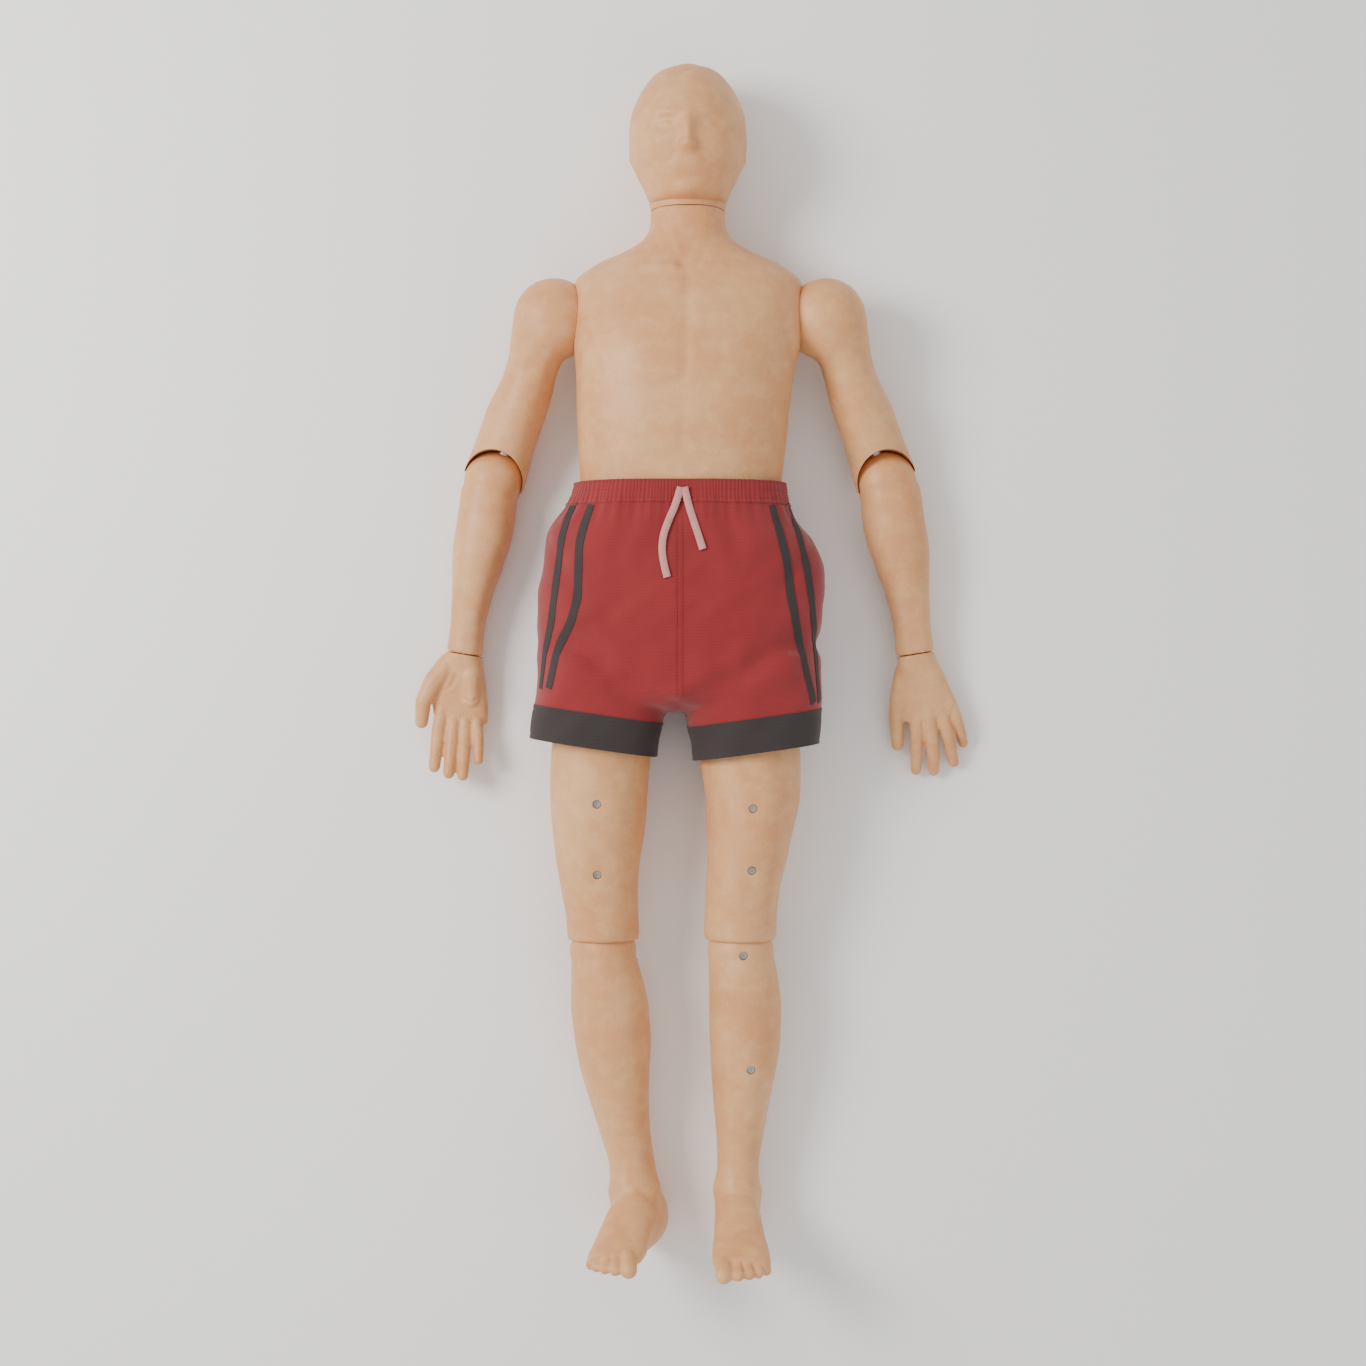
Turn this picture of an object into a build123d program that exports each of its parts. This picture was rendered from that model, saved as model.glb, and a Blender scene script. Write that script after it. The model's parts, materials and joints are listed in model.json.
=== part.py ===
from build123d import *
import os
from math import cos, pi, sin, tan

# Jointed rescue manikin: hollow soft vinyl shells over a steel skeleton, in swim shorts.
# It lies on its back on z = 0. X runs to the manikin's own left, Y to its head, Z up
# out of its chest. Millimetres. Places along Y are measured from a line below the hips, and
# each piece is moved by PLAN_MIDDLE_Y as it is written, so that the origin is mid-plan.

# ---------------------------------------------------------------- driving dimensions
WALL = 6.0  # vinyl wall
GAP = 0.6  # between a ball and the cup that it turns in
PLAY = 0.05  # radial play of steel in its bore
PLAN_MIDDLE_Y = 19.0

NECK_X = -3.0
SPINE_Z = 85.0
TILT_Y = 668.0
NECK_TOP_Y = 650.0
NECK_BALL_R = 54.5

SHOULDER_OUT = 190.0
SHOULDER_Y = 500.0
SHOULDER_BALL_R = 57.0
ELBOW_OUT = 279.0
ELBOW_Y = 277.0
ELBOW_Z = 43.0
ELBOW_BALL_R = 40.0
WRIST_OUT = 321.0
WRIST_Y = 32.0
WRIST_Z = 33.0
WRIST_R = 27.0

HIP_X = {"left": 72.0, "right": -106.0}
HIP_Y = 55.0
HIP_Z = 90.0
HIP_BALL_R = 72.0
HIP_AXLE_R = 10.0
KNEE_X = {"left": 71.0, "right": -122.0}
KNEE_Y = -385.0
KNEE_Z = 74.0
KNEE_BALL_R = 47.2
CROTCH_X = -17.0

CROSSBAR_R = 14.0
AXLE_R = 8.0
SPINE_R = 17.0
PIN_R = 5.0
TONGUE_HALF = 7.0
FORK_INNER = 7.3
FORK_OUTER = 13.0
EYE_R = 13.0

SIDES = {"left": 1.0, "right": -1.0}
RING_SPACING = 22.0

# Rings across the body: place along it, centre across, half width, lowest z, highest z.
TORSO_RINGS = [
    (650, -3, 52, 33, 137),
    (628, -3, 53, 32, 138),
    (610, -3, 62, 30, 139),
    (594, -3, 86, 27, 142),
    (574, -3, 126, 18, 150),
    (548, -3, 156, 8, 164),
    (510, -3, 162, 0, 182),
    (465, -3, 157, -3, 197),
    (420, -4, 153, -3, 203),
    (360, -9, 148, -3, 199),
    (322, -11, 145, -2, 193),
    (295, -12, 143.5, 2.5, 188),
    (268, -13, 142, 5.2, 183),
    (236, -14, 142, 5.4, 182),
    (180, -17, 143, 5.4, 184),
    (120, -17, 148, 5.4, 188),
    (44, -17, 151, 5.4, 187),
]
HEAD_RINGS = [
    (662, -3, 54, 38, 146),
    (676, -3, 60, 32, 160),
    (694, -3, 69, 20, 170),
    (715, -3, 77, 8, 180),
    (745, -3, 82, -1, 188),
    (776, -3, 80, -2, 184),
    (800, -3, 73, 1, 172),
    (822, -3, 61, 14, 158),
    (842, -3, 43, 34, 136),
    (855, -3, 16, 66, 104),
]
THIGH_RINGS = {
    "left": [
        (40, 72, 71, 19, 161),
        (0, 73, 72, 12, 162),
        (-60, 78, 73, 7, 161),
        (-113, 84, 70, 6, 158),
        (-174, 88, 66, 6, 154),
        (-216, 84, 61, 8, 149),
        (-258, 80, 56, 13, 143),
        (-300, 74, 52, 17, 136),
        (-342, 71, 51, 20, 130),
        (-370, 70.5, 50, 22, 127),
    ],
    "right": [
        (40, -106, 71, 19, 161),
        (0, -108, 72, 12, 162),
        (-60, -118, 71, 7, 161),
        (-113, -125, 69, 6, 158),
        (-174, -128, 68, 6, 154),
        (-216, -128, 65, 8, 149),
        (-258, -129, 59, 13, 143),
        (-300, -127, 54, 17, 136),
        (-342, -123, 51, 20, 130),
        (-370, -122, 50, 22, 127),
    ],
}
SHIN_RINGS = {
    "left": [
        (-402, 73, 47, 24, 122),
        (-430, 76, 49, 21, 124),
        (-468, 78, 51, 8, 118),
        (-512, 78, 50, 1, 113),
        (-556, 76, 46, 0, 107),
        (-600, 73, 40, 6, 100),
        (-645, 71, 34, 13, 92),
        (-690, 68, 31, 16, 88),
        (-725, 67, 33, 14, 96),
        (-748, 67, 34, 16, 96),
    ],
    "right": [
        (-402, -120, 47, 24, 122),
        (-430, -116, 51, 21, 124),
        (-468, -113, 55, 8, 118),
        (-512, -109, 54, 1, 113),
        (-556, -106, 49, 0, 107),
        (-600, -100, 42, 6, 100),
        (-645, -92, 36, 13, 92),
        (-690, -82, 34, 16, 88),
        (-725, -79, 36, 14, 96),
        (-748, -78, 37, 16, 96),
    ],
}
# Foot rings in level planes: height, centre x, centre y, half width, half length in y.
FOOT_RINGS = {
    "left": [
        (3, 67, -779, 18, 18),
        (20, 67, -773, 29, 36),
        (52, 67, -762, 32, 50),
        (92, 67, -766, 34, 46),
        (130, 67, -780, 37, 34),
        (165, 68, -792, 40, 24),
        (198, 70, -800, 41, 17),
        (218, 70, -803, 36, 13),
        (226, 69, -804, 24, 7),
    ],
    "right": [
        (3, -63, -778, 18, 18),
        (20, -62, -772, 30, 36),
        (52, -70, -762, 34, 50),
        (92, -80, -764, 37, 46),
        (130, -90, -776, 38, 34),
        (160, -97, -787, 38, 24),
        (188, -103, -794, 37, 17),
        (206, -106, -797, 32, 13),
        (214, -106, -798, 22, 7),
    ],
}
# Rings along a limb from the joint above: distance, half width, half depth, drop.
UPPER_ARM_RINGS = [
    (16, 52, 50, 0),
    (42, 41, 44, 0),
    (66, 38, 42, 0),
    (104, 38, 42, 0),
    (136, 41, 43, 0),
    (178, 43, 43, 0),
    (215, 43, 42.5, 0),
    (236, 42.5, 42, 0),
]
FOREARM_RINGS = [
    (6, 40, 39.5, 0),
    (30, 42, 40, 0),
    (60, 43, 39.5, 0),
    (92, 42.5, 38, 0),
    (118, 38, 36, 0),
    (146, 32, 32, 0),
    (176, 28.5, 29, 0),
    (212, 26, 26.5, 0),
    (236, 26.5, 26.5, 0),
    (248.5, WRIST_R, WRIST_R, 0),
]
HAND_RINGS = [
    (0.3, 26.7, 26.7, 0),
    (16, 29, 22, -1),
    (42, 37, 18.5, -3),
    (72, 42, 18, -5),
    (98, 43, 16.5, -5),
    (124, 41, 14, -6),
    (150, 38, 12, -8),
    (166, 34, 10, -9),
    (174, 26, 6, -9),
]
HAND_LEAN = {"left": 0.12, "right": 0.0}
THUMB_POINTS = [(24, 22, -3), (42, 60, -5), (43, 112, -9)]  # across, along, drop
# Outer surface of the shorts, as the torso's rings.
SEAT_RINGS = [
    (235, -14, 148, 0.7, 189),
    (214, -18, 166, 0.7, 191),
    (190, -14, 185, 0.7, 193),
    (150, -10, 194, 0.7, 196),
    (106, -12, 200, 0.7, 198),
    (60, -16, 198, 0.7, 198),
    (20, -15, 196, 0.7, 192),
    (-18, -17, 198, 0.7, 184),
    (-48, -19, 199, 0.7, 178),
]
WAISTBAND_RINGS = [
    (268, -13, 146.6, 0.6, 188),
    (252, -13.5, 147, 0.6, 188.6),
    (236, -14, 147.6, 0.6, 189),
]
LEG_RINGS = {
    "left": [(-49, 89, 91, 0.7, 176), (-65, 90, 90, 0.7, 174), (-79, 91, 89, 0.7, 172)],
    "right": [(-49, -127, 90, 0.7, 176), (-65, -130, 90, 0.7, 174), (-79, -133, 90, 0.7, 172)],
}
HEM_RINGS = {
    "left": [(-80, 91, 89, 0.7, 172), (-96, 92, 88.5, 0.7, 171), (-113, 92.5, 88.5, 0.7, 170)],
    "right": [(-80, -133, 90, 0.7, 172), (-96, -134.5, 90, 0.7, 171), (-113, -135.5, 90, 0.7, 170)],
}
CLOTH = 2.4
BAND_CLOTH = 2.8

# Drawstring tails, from the waistband's eyelets along the front of the shorts.
CORD_R = 2.5
DRAWSTRING_ROUTES = {
    "right": [
        (-13, 255, 192),
        (-19, 233, 193.4),
        (-29, 211, 194.8),
        (-38, 186, 196.4),
        (-38, 158, 198.2),
        (-31, 133, 199.6),
    ],
    "left": [
        (-8, 255, 192),
        (-3, 233, 193.4),
        (4, 211, 194.8),
        (11, 190, 196.2),
        (17, 171, 197.2),
    ],
}

# Screws sunk into the shells: place of the axis and height of the head's top.
SCREWS = {
    "thigh_screws_left": [(86, -182, 148), (85, -268, 136)],
    "thigh_screws_right": [(-128, -176, 148), (-128, -274, 135)],
    "shin_screws_left": [(74, -388, 115), (85, -549, 102)],
}


# ---------------------------------------------------------------- helpers
def body_plane(y_place):
    """A plane across the body at a place along Y, with its y axis up."""
    return Plane(origin=(0, y_place, 0), x_dir=(1, 0, 0), z_dir=(0, -1, 0))


def limb_plane(start, end, across=(1, 0, 0)):
    """A plane at start whose z axis runs to end and whose x axis is as near across as it can be."""
    along = (Vector(*end) - Vector(*start)).normalized()
    sideways = Vector(*across)
    sideways = (sideways - along * sideways.dot(along)).normalized()
    return Plane(origin=start, x_dir=sideways, z_dir=along)


def outline(centre_x, centre_y, half_x, half_y, squareness):
    """Points of a closed soft-cornered outline."""
    points = []
    for step in range(16):
        angle = 2 * pi * step / 16
        c, s = cos(angle), sin(angle)
        x = abs(c) ** squareness * (1 if c > 0 else -1)
        y = abs(s) ** squareness * (1 if s > 0 else -1)
        points.append((centre_x + half_x * x, centre_y + half_y * y))
    return points


def even_rings(rings, spacing):
    """The same rings read off at an even spacing, along smooth lines that never overshoot."""

    def slope(index, column):
        """The line's slope at a ring: level at a high or low point, a harmonic mean elsewhere."""
        if index == 0 or index == len(rings) - 1:
            return 0.0
        before = (rings[index][column] - rings[index - 1][column]) / (rings[index][0] - rings[index - 1][0])
        after = (rings[index + 1][column] - rings[index][column]) / (rings[index + 1][0] - rings[index][0])
        return 2 * before * after / (before + after) if before * after > 0 else 0.0

    first, last = rings[0][0], rings[-1][0]
    count = max(4, round(abs(last - first) / spacing) + 1)
    result = []
    for step in range(count):
        place = first + (last - first) * step / (count - 1)
        index = 0
        while index < len(rings) - 2 and abs(place - first) > abs(rings[index + 1][0] - first):
            index += 1
        run = rings[index + 1][0] - rings[index][0]
        t = (place - rings[index][0]) / run
        ring = [place]
        for column in range(1, len(rings[0])):
            start, end = rings[index][column], rings[index + 1][column]
            ease = t * t * (3 - 2 * t)
            value = start + (end - start) * ease
            value += run * slope(index, column) * t * (1 - t) ** 2
            value -= run * slope(index + 1, column) * t * t * (1 - t)
            ring.append(value)
        result.append(tuple(ring))
    return result


def skinned(planes_and_rings, squareness=1.0):
    """One smooth solid through soft outlines: plane, centre x, centre y, half x, half y."""
    with BuildPart() as solid:
        for plane, centre_x, centre_y, half_x, half_y in planes_and_rings:
            with BuildSketch(plane):
                with BuildLine():
                    Spline(*outline(centre_x, centre_y, half_x, half_y, squareness), periodic=True)
                make_face()
        loft()
    return solid.part


def body_solid(rings, wall=0.0, squareness=0.86):
    """A smooth solid along the body through rings that give lowest and highest z."""
    planes = []
    for y_place, centre_x, half_x, low, high in even_rings(rings, RING_SPACING):
        planes.append(
            (body_plane(y_place), centre_x, (low + high) / 2, half_x - wall, (high - low) / 2 - wall)
        )
    return skinned(planes, squareness)


def limb_solid(plane, rings, wall=0.0, lean=0.0):
    """A smooth solid along a limb's own plane, leaning along its x by a share of the distance."""
    planes = []
    for distance, half_x, half_y, shift_y in even_rings(rings, RING_SPACING):
        planes.append(
            (plane.offset(distance), lean * distance, shift_y, half_x - wall, half_y - wall)
        )
    return skinned(planes)


def rod(start, end, radius):
    """A round bar from one point to another."""
    length = (Vector(*end) - Vector(*start)).length
    with BuildPart() as bar:
        with BuildSketch(limb_plane(start, end, (0.13, 0.21, 0.97))):
            Circle(radius)
        extrude(amount=length)
    return bar.part


def rod_along(plane, start, end, radius):
    """A round bar on a plane's z axis between two distances from its origin."""
    axis = plane.z_dir
    return rod(tuple(plane.origin + axis * start), tuple(plane.origin + axis * end), radius)


def ball(centre, radius, pole=(0, 0, 1), seam=(1, 0, 0)):
    """A sphere about a point, with its poles and seam turned away from the holes in it."""
    with BuildPart() as sphere:
        with Locations(Location(Plane(origin=centre, x_dir=seam, z_dir=pole))):
            Sphere(radius)
    return sphere.part


def block(low, high):
    """A box between two corners."""
    low, high = Vector(*low), Vector(*high)
    size = high - low
    with BuildPart() as box:
        with Locations((low + high) / 2):
            Box(size.X, size.Y, size.Z)
    return box.part


def lug(plane, inner, outer, reach, hole_r, eye_r=EYE_R):
    """A round-ended plate in a plane's xy, drilled, between two heights; it runs out along x."""
    with BuildPart() as plate:
        with BuildSketch(plane.offset(inner)):
            Circle(eye_r)
            with Locations((reach / 2, 0)):
                Rectangle(reach, 2 * eye_r)
            Circle(hole_r, mode=Mode.SUBTRACT)
        extrude(amount=outer - inner)
    return plate.part


def fork(plane, reach, hole_r, root=18.0, eye_r=EYE_R, inner=FORK_INNER, outer=FORK_OUTER):
    """Two lugs and the bridge that joins them."""
    upper = lug(plane, inner, outer, reach, hole_r, eye_r)
    lower = lug(plane, -outer, -inner, reach, hole_r, eye_r)
    with BuildPart() as both:
        add(upper)
        add(lower)
        with BuildSketch(plane.offset(-outer)):
            with Locations(((root + reach) / 2, 0)):
                Rectangle(reach - root, 2 * eye_r)
        extrude(amount=2 * outer)
    return both.part


def sector(plane, radius, start_degrees, end_degrees, low, high):
    """A pie slice in a plane's xy, between two heights."""
    with BuildPart() as slice_solid:
        with BuildSketch(plane.offset(low)):
            with BuildLine():
                corners = [(0, 0)]
                for step in range(4):
                    angle = (start_degrees + (end_degrees - start_degrees) * step / 3) * pi / 180
                    corners.append((radius * cos(angle), radius * sin(angle)))
                Polyline(*corners, close=True)
            make_face()
        extrude(amount=high - low)
    return slice_solid.part


def joined(first, *others, less=()):
    """One solid from several, with others cut away."""
    with BuildPart() as result:
        add(first)
        for other in others:
            add(other)
        for cutter in less:
            add(cutter, mode=Mode.SUBTRACT)
    return result.part


def write(part, name):
    """Bring a finished piece to the part's origin, label it and write its STEP file."""
    placed = part.moved(Location((0, -PLAN_MIDDLE_Y, 0)))
    placed.label = name
    export_step(placed, f"parts/{name}.step")


os.makedirs("parts", exist_ok=True)
NECK = (NECK_X, TILT_Y, SPINE_Z)
BELOW_FLOOR = block((-600, -1000, -60), (600, 1000, 0))

# ---------------------------------------------------------------- head and neck
head_skin = body_solid(HEAD_RINGS, squareness=0.9)
head_cavity = body_solid([r for r in HEAD_RINGS if 745 <= r[0] <= 842], WALL, 0.9)
with BuildPart() as head_shell:
    add(head_skin)
    add(head_cavity, mode=Mode.SUBTRACT)
    add(BELOW_FLOOR, mode=Mode.SUBTRACT)
    add(ball(NECK, NECK_BALL_R + 0.8), mode=Mode.SUBTRACT)
    add(rod(NECK, (NECK_X, 760, SPINE_Z), 9 + PLAY), mode=Mode.SUBTRACT)
write(head_shell.part, "head_shell")

with BuildPart() as neck_ball:
    with Locations(NECK):
        Sphere(NECK_BALL_R)
    add(block((-100, 500, 0), (100, NECK_TOP_Y + 0.4, 200)), mode=Mode.SUBTRACT)
    ball_inside = joined(
        ball(NECK, NECK_BALL_R - 8),
        less=[block((-100, 500, 0), (100, NECK_TOP_Y + 6, 200))],
    )
    add(ball_inside, mode=Mode.SUBTRACT)
    add(rod(NECK, (NECK_X, TILT_Y + 60, SPINE_Z), 27), mode=Mode.SUBTRACT)
    add(rod((NECK_X, 640, SPINE_Z), NECK, AXLE_R + PLAY), mode=Mode.SUBTRACT)
write(neck_ball.part, "neck_ball")

across_neck = Plane(origin=NECK, x_dir=(0, -1, 0), z_dir=(1, 0, 0))
above_neck = Plane(origin=NECK, x_dir=(0, 1, 0), z_dir=(1, 0, 0))
yoke_tongue = lug(across_neck, -TONGUE_HALF, TONGUE_HALF, 10, PIN_R + PLAY, 9)
with BuildPart() as neck_yoke:
    add(yoke_tongue)
    add(rod((NECK_X, 566, SPINE_Z), (NECK_X, TILT_Y - 9.5, SPINE_Z), AXLE_R))
    add(rod((NECK_X, NECK_TOP_Y + 6.1, SPINE_Z), (NECK_X, NECK_TOP_Y + 8.5, SPINE_Z), 28))
write(neck_yoke.part, "neck_yoke")

skull_fork = fork(above_neck, 26, PIN_R + PLAY, root=12.5, eye_r=8.5)
with BuildPart() as skull_post:
    add(skull_fork)
    add(rod((NECK_X, TILT_Y + 24, SPINE_Z), (NECK_X, 762, SPINE_Z), 9))
    add(rod((NECK_X, 753, SPINE_Z), (NECK_X, 759, SPINE_Z), 26))
write(skull_post.part, "skull_post")

write(rod((NECK_X - 15, TILT_Y, SPINE_Z), (NECK_X + 15, TILT_Y, SPINE_Z), PIN_R), "neck_pin")

# ---------------------------------------------------------------- torso
SHOULDERS = {}
for side, sign in SIDES.items():
    SHOULDERS[side] = (sign * SHOULDER_OUT, SHOULDER_Y, SPINE_Z)
HIPS = {side: (HIP_X[side], HIP_Y, HIP_Z) for side in SIDES}
KNEES = {side: (KNEE_X[side], KNEE_Y, KNEE_Z) for side in SIDES}
SPINE_FOOT = (CROTCH_X, 96.0, HIP_Z)
SPINE_HEAD = (NECK_X, 480.0, SPINE_Z)

torso_skin = body_solid(TORSO_RINGS, squareness=0.9)
cavity_rings = [ring for ring in TORSO_RINGS if 170 <= ring[0] <= 596]
torso_cavity = joined(
    body_solid(cavity_rings, WALL, 0.9),
    less=[
        ball(SHOULDERS[side], SHOULDER_BALL_R + GAP + WALL, seam=(sign, 0, 0))
        for side, sign in SIDES.items()
    ],
)
crotch_rings = [
    (90, CROTCH_X, 15.6, 8, 176),
    (30, CROTCH_X, 15.6, 14, 170),
    (-20, CROTCH_X, 15.2, 26, 156),
    (-46, CROTCH_X, 13, 48, 130),
]
crotch_wall = body_solid(crotch_rings, squareness=0.7)
hip_pocket = block((CROTCH_X - 40, 35, HIP_Z - 26.2), (CROTCH_X + 40, 112, HIP_Z + 26.2))
with BuildPart() as torso_shell:
    add(torso_skin)
    for side, centre in HIPS.items():
        add(ball(centre, HIP_BALL_R + GAP, pole=(0, 1, 0), seam=(0, 0, -1)), mode=Mode.SUBTRACT)
        add(rod(centre, (centre[0], HIP_Y, 260), HIP_BALL_R + 3 * GAP), mode=Mode.SUBTRACT)
    add(crotch_wall)
    add(torso_cavity, mode=Mode.SUBTRACT)
    for side, centre in SHOULDERS.items():
        add(ball(centre, SHOULDER_BALL_R + GAP, seam=(SIDES[side], 0, 0)), mode=Mode.SUBTRACT)
        add(
            rod((centre[0] * 0.6, SHOULDER_Y, SPINE_Z), (centre[0] * 0.8, SHOULDER_Y, SPINE_Z), 9.5),
            mode=Mode.SUBTRACT,
        )
    add(hip_pocket, mode=Mode.SUBTRACT)
    add(rod_along(limb_plane(SPINE_FOOT, SPINE_HEAD), 8, 110, SPINE_R + PLAY), mode=Mode.SUBTRACT)
    add(rod((NECK_X, 560, SPINE_Z), (NECK_X, 700, SPINE_Z), CROSSBAR_R + PLAY), mode=Mode.SUBTRACT)
    add(BELOW_FLOOR, mode=Mode.SUBTRACT)
write(torso_shell.part, "torso_shell")

# ---------------------------------------------------------------- steel in the torso
spine_axis = (Vector(*SPINE_HEAD) - Vector(*SPINE_FOOT)).normalized()
spine_start = Vector(*SPINE_FOOT) + spine_axis * 4
spine_solid = joined(
    rod(tuple(spine_start), SPINE_HEAD, SPINE_R),
    less=[rod(tuple(spine_start - spine_axis), tuple(Vector(*SPINE_HEAD) + spine_axis), SPINE_R - 3)],
)
write(spine_solid, "spine_tube")
with BuildPart() as pelvis_block:
    add(block((CROTCH_X - 13, 36, HIP_Z - 26), (CROTCH_X + 13, 111, HIP_Z + 26)))
    add(rod((-60, HIP_Y, HIP_Z), (40, HIP_Y, HIP_Z), HIP_AXLE_R + PLAY), mode=Mode.SUBTRACT)
    add(rod(tuple(spine_start), SPINE_HEAD, SPINE_R + PLAY), mode=Mode.SUBTRACT)
write(pelvis_block.part.solids().sort_by(SortBy.VOLUME)[-1], "pelvis_block")
with BuildPart() as chest_block:
    add(block((NECK_X - 24, 464, SPINE_Z - 22), (NECK_X + 24, 536, SPINE_Z + 22)))
    add(rod((-60, SHOULDER_Y, SPINE_Z), (60, SHOULDER_Y, SPINE_Z), CROSSBAR_R + PLAY), mode=Mode.SUBTRACT)
    add(rod(SPINE_FOOT, SPINE_HEAD, SPINE_R + PLAY), mode=Mode.SUBTRACT)
    add(rod((NECK_X, 518, SPINE_Z), (NECK_X, 560, SPINE_Z), CROSSBAR_R + PLAY), mode=Mode.SUBTRACT)
write(chest_block.part, "chest_block")

neck_tube_solid = joined(
    rod((NECK_X, 518.2, SPINE_Z), (NECK_X, NECK_TOP_Y - 4, SPINE_Z), CROSSBAR_R),
    less=[rod((NECK_X, 500, SPINE_Z), (NECK_X, 700, SPINE_Z), AXLE_R + PLAY)],
)
write(neck_tube_solid, "neck_tube")

crossbar_solid = joined(
    rod((-124, SHOULDER_Y, SPINE_Z), (124, SHOULDER_Y, SPINE_Z), CROSSBAR_R),
    less=[rod((-130, SHOULDER_Y, SPINE_Z), (130, SHOULDER_Y, SPINE_Z), AXLE_R + PLAY)],
)
write(crossbar_solid, "shoulder_crossbar")
hip_axle_ends = [(HIP_X[side] + sign * 44, HIP_Y, HIP_Z) for side, sign in SIDES.items()]
write(rod(*hip_axle_ends, HIP_AXLE_R), "hip_axle")

with BuildPart() as hip_nuts:
    for side, sign in SIDES.items():
        with BuildSketch(Plane(origin=(HIP_X[side] + sign * 27, HIP_Y, HIP_Z), z_dir=(sign, 0, 0))):
            RegularPolygon(radius=17, side_count=6)
            Circle(HIP_AXLE_R + PLAY, mode=Mode.SUBTRACT)
        extrude(amount=12)
write(hip_nuts.part, "hip_nuts")

with BuildPart() as hip_washers:
    for side, sign in SIDES.items():
        with BuildSketch(Plane(origin=(HIP_X[side] + sign * 23, HIP_Y, HIP_Z), z_dir=(sign, 0, 0))):
            Circle(20)
            Circle(HIP_AXLE_R + PLAY, mode=Mode.SUBTRACT)
        extrude(amount=3.5)
write(hip_washers.part, "hip_washers")

# ---------------------------------------------------------------- arms
def write_pair(part, name):
    """Write a left-hand piece and its mirror image."""
    write(part, f"{name}_left")
    write(mirror(part, about=Plane.YZ), f"{name}_right")


# The left arm, whose pieces are mirrored for the right one.
shoulder = SHOULDERS["left"]
elbow = (ELBOW_OUT, ELBOW_Y, ELBOW_Z)
wrist = (WRIST_OUT, WRIST_Y, WRIST_Z)
upper = limb_plane(shoulder, elbow)
lower = limb_plane(elbow, wrist)
hand = limb_plane(wrist, tuple(Vector(*wrist) + lower.z_dir))
upper_length = (Vector(*elbow) - Vector(*shoulder)).length
lower_length = (Vector(*wrist) - Vector(*elbow)).length

# The elbow hinge lies level, square to the forearm; its plane's x axis points up the arm.
hinge = Vector(-lower.z_dir.Y, lower.z_dir.X, 0).normalized()
hinge_plane = limb_plane(elbow, tuple(Vector(*elbow) - hinge), tuple(-lower.z_dir))
front = lower.z_dir.cross(hinge)
front = front if front.Z > 0 else -front

# Shoulder axle: a shaft in the crossbar and a drilled tongue.
tongue_plane = Plane(origin=shoulder, x_dir=(-1, 0, 0), z_dir=(0, 0, 1))
axle_solid = joined(
    lug(tongue_plane, -TONGUE_HALF, TONGUE_HALF, 18, PIN_R + PLAY),
    rod((62, SHOULDER_Y, SPINE_Z), ((SHOULDER_OUT - 15), SHOULDER_Y, SPINE_Z), AXLE_R),
)
write_pair(axle_solid, "shoulder_axle")
pin_ends = [(shoulder[0], SHOULDER_Y, SPINE_Z + reach) for reach in (-16, 16)]
write_pair(rod(*pin_ends, PIN_R), "shoulder_pin")

# Humerus: fork at the shoulder pin, rod, fork at the elbow pin.
down_arm = Plane(origin=shoulder, x_dir=(upper.z_dir.X, upper.z_dir.Y, 0), z_dir=(0, 0, 1))
up_arm_x = -upper.z_dir - hinge * (-upper.z_dir).dot(hinge)
up_arm = Plane(origin=elbow, x_dir=tuple(up_arm_x.normalized()), z_dir=tuple(hinge))
humerus_solid = joined(
    fork(down_arm, 28, PIN_R + PLAY),
    rod_along(upper, 22, upper_length - 20, 9),
    fork(up_arm, 27, PIN_R + PLAY, root=16, eye_r=11),
)
write_pair(humerus_solid, "humerus")
pin_half = hinge * 15
write_pair(rod(tuple(Vector(*elbow) - pin_half), tuple(Vector(*elbow) + pin_half), PIN_R), "elbow_pin")

# Upper arm shell: shoulder ball, tapered sleeve, elbow cup with a front arch.
cavity_rings = [ring for ring in UPPER_ARM_RINGS if ring[0] <= 178]
bulkhead_ring = (upper_length - 52, 42, 42, 0)
outward = tuple(upper.x_dir)
arm_cavity = joined(
    ball(shoulder, SHOULDER_BALL_R - WALL, tuple(upper.z_dir), outward),
    limb_solid(upper, cavity_rings + [bulkhead_ring], WALL),
)
shoulder_slot = sector(tongue_plane, 80, -66, 16, -9.6, 9.6)
with BuildPart() as upper_arm_shell:
    add(ball(shoulder, SHOULDER_BALL_R, tuple(upper.z_dir), outward))
    add(limb_solid(upper, UPPER_ARM_RINGS))
    add(rod_along(upper, upper_length - 94, upper_length - 18, 9 + PLAY), mode=Mode.SUBTRACT)
    add(arm_cavity, mode=Mode.SUBTRACT)
    add(shoulder_slot, mode=Mode.SUBTRACT)
    add(ball(elbow, ELBOW_BALL_R + GAP), mode=Mode.SUBTRACT)
    add(rod(elbow, tuple(Vector(*elbow) + front * 70), 44), mode=Mode.SUBTRACT)
    add(BELOW_FLOOR, mode=Mode.SUBTRACT)
write_pair(upper_arm_shell.part, "upper_arm_shell")

# Forearm rod with its tongue on the elbow pin.
down_forearm = Plane(origin=elbow, x_dir=tuple(lower.z_dir), z_dir=tuple(hinge))
forearm_rod = joined(
    lug(down_forearm, -TONGUE_HALF, TONGUE_HALF, 24, PIN_R + PLAY, 11),
    rod_along(lower, 17, lower_length - 14, 8),
)
write_pair(forearm_rod, "forearm_rod")

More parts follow.
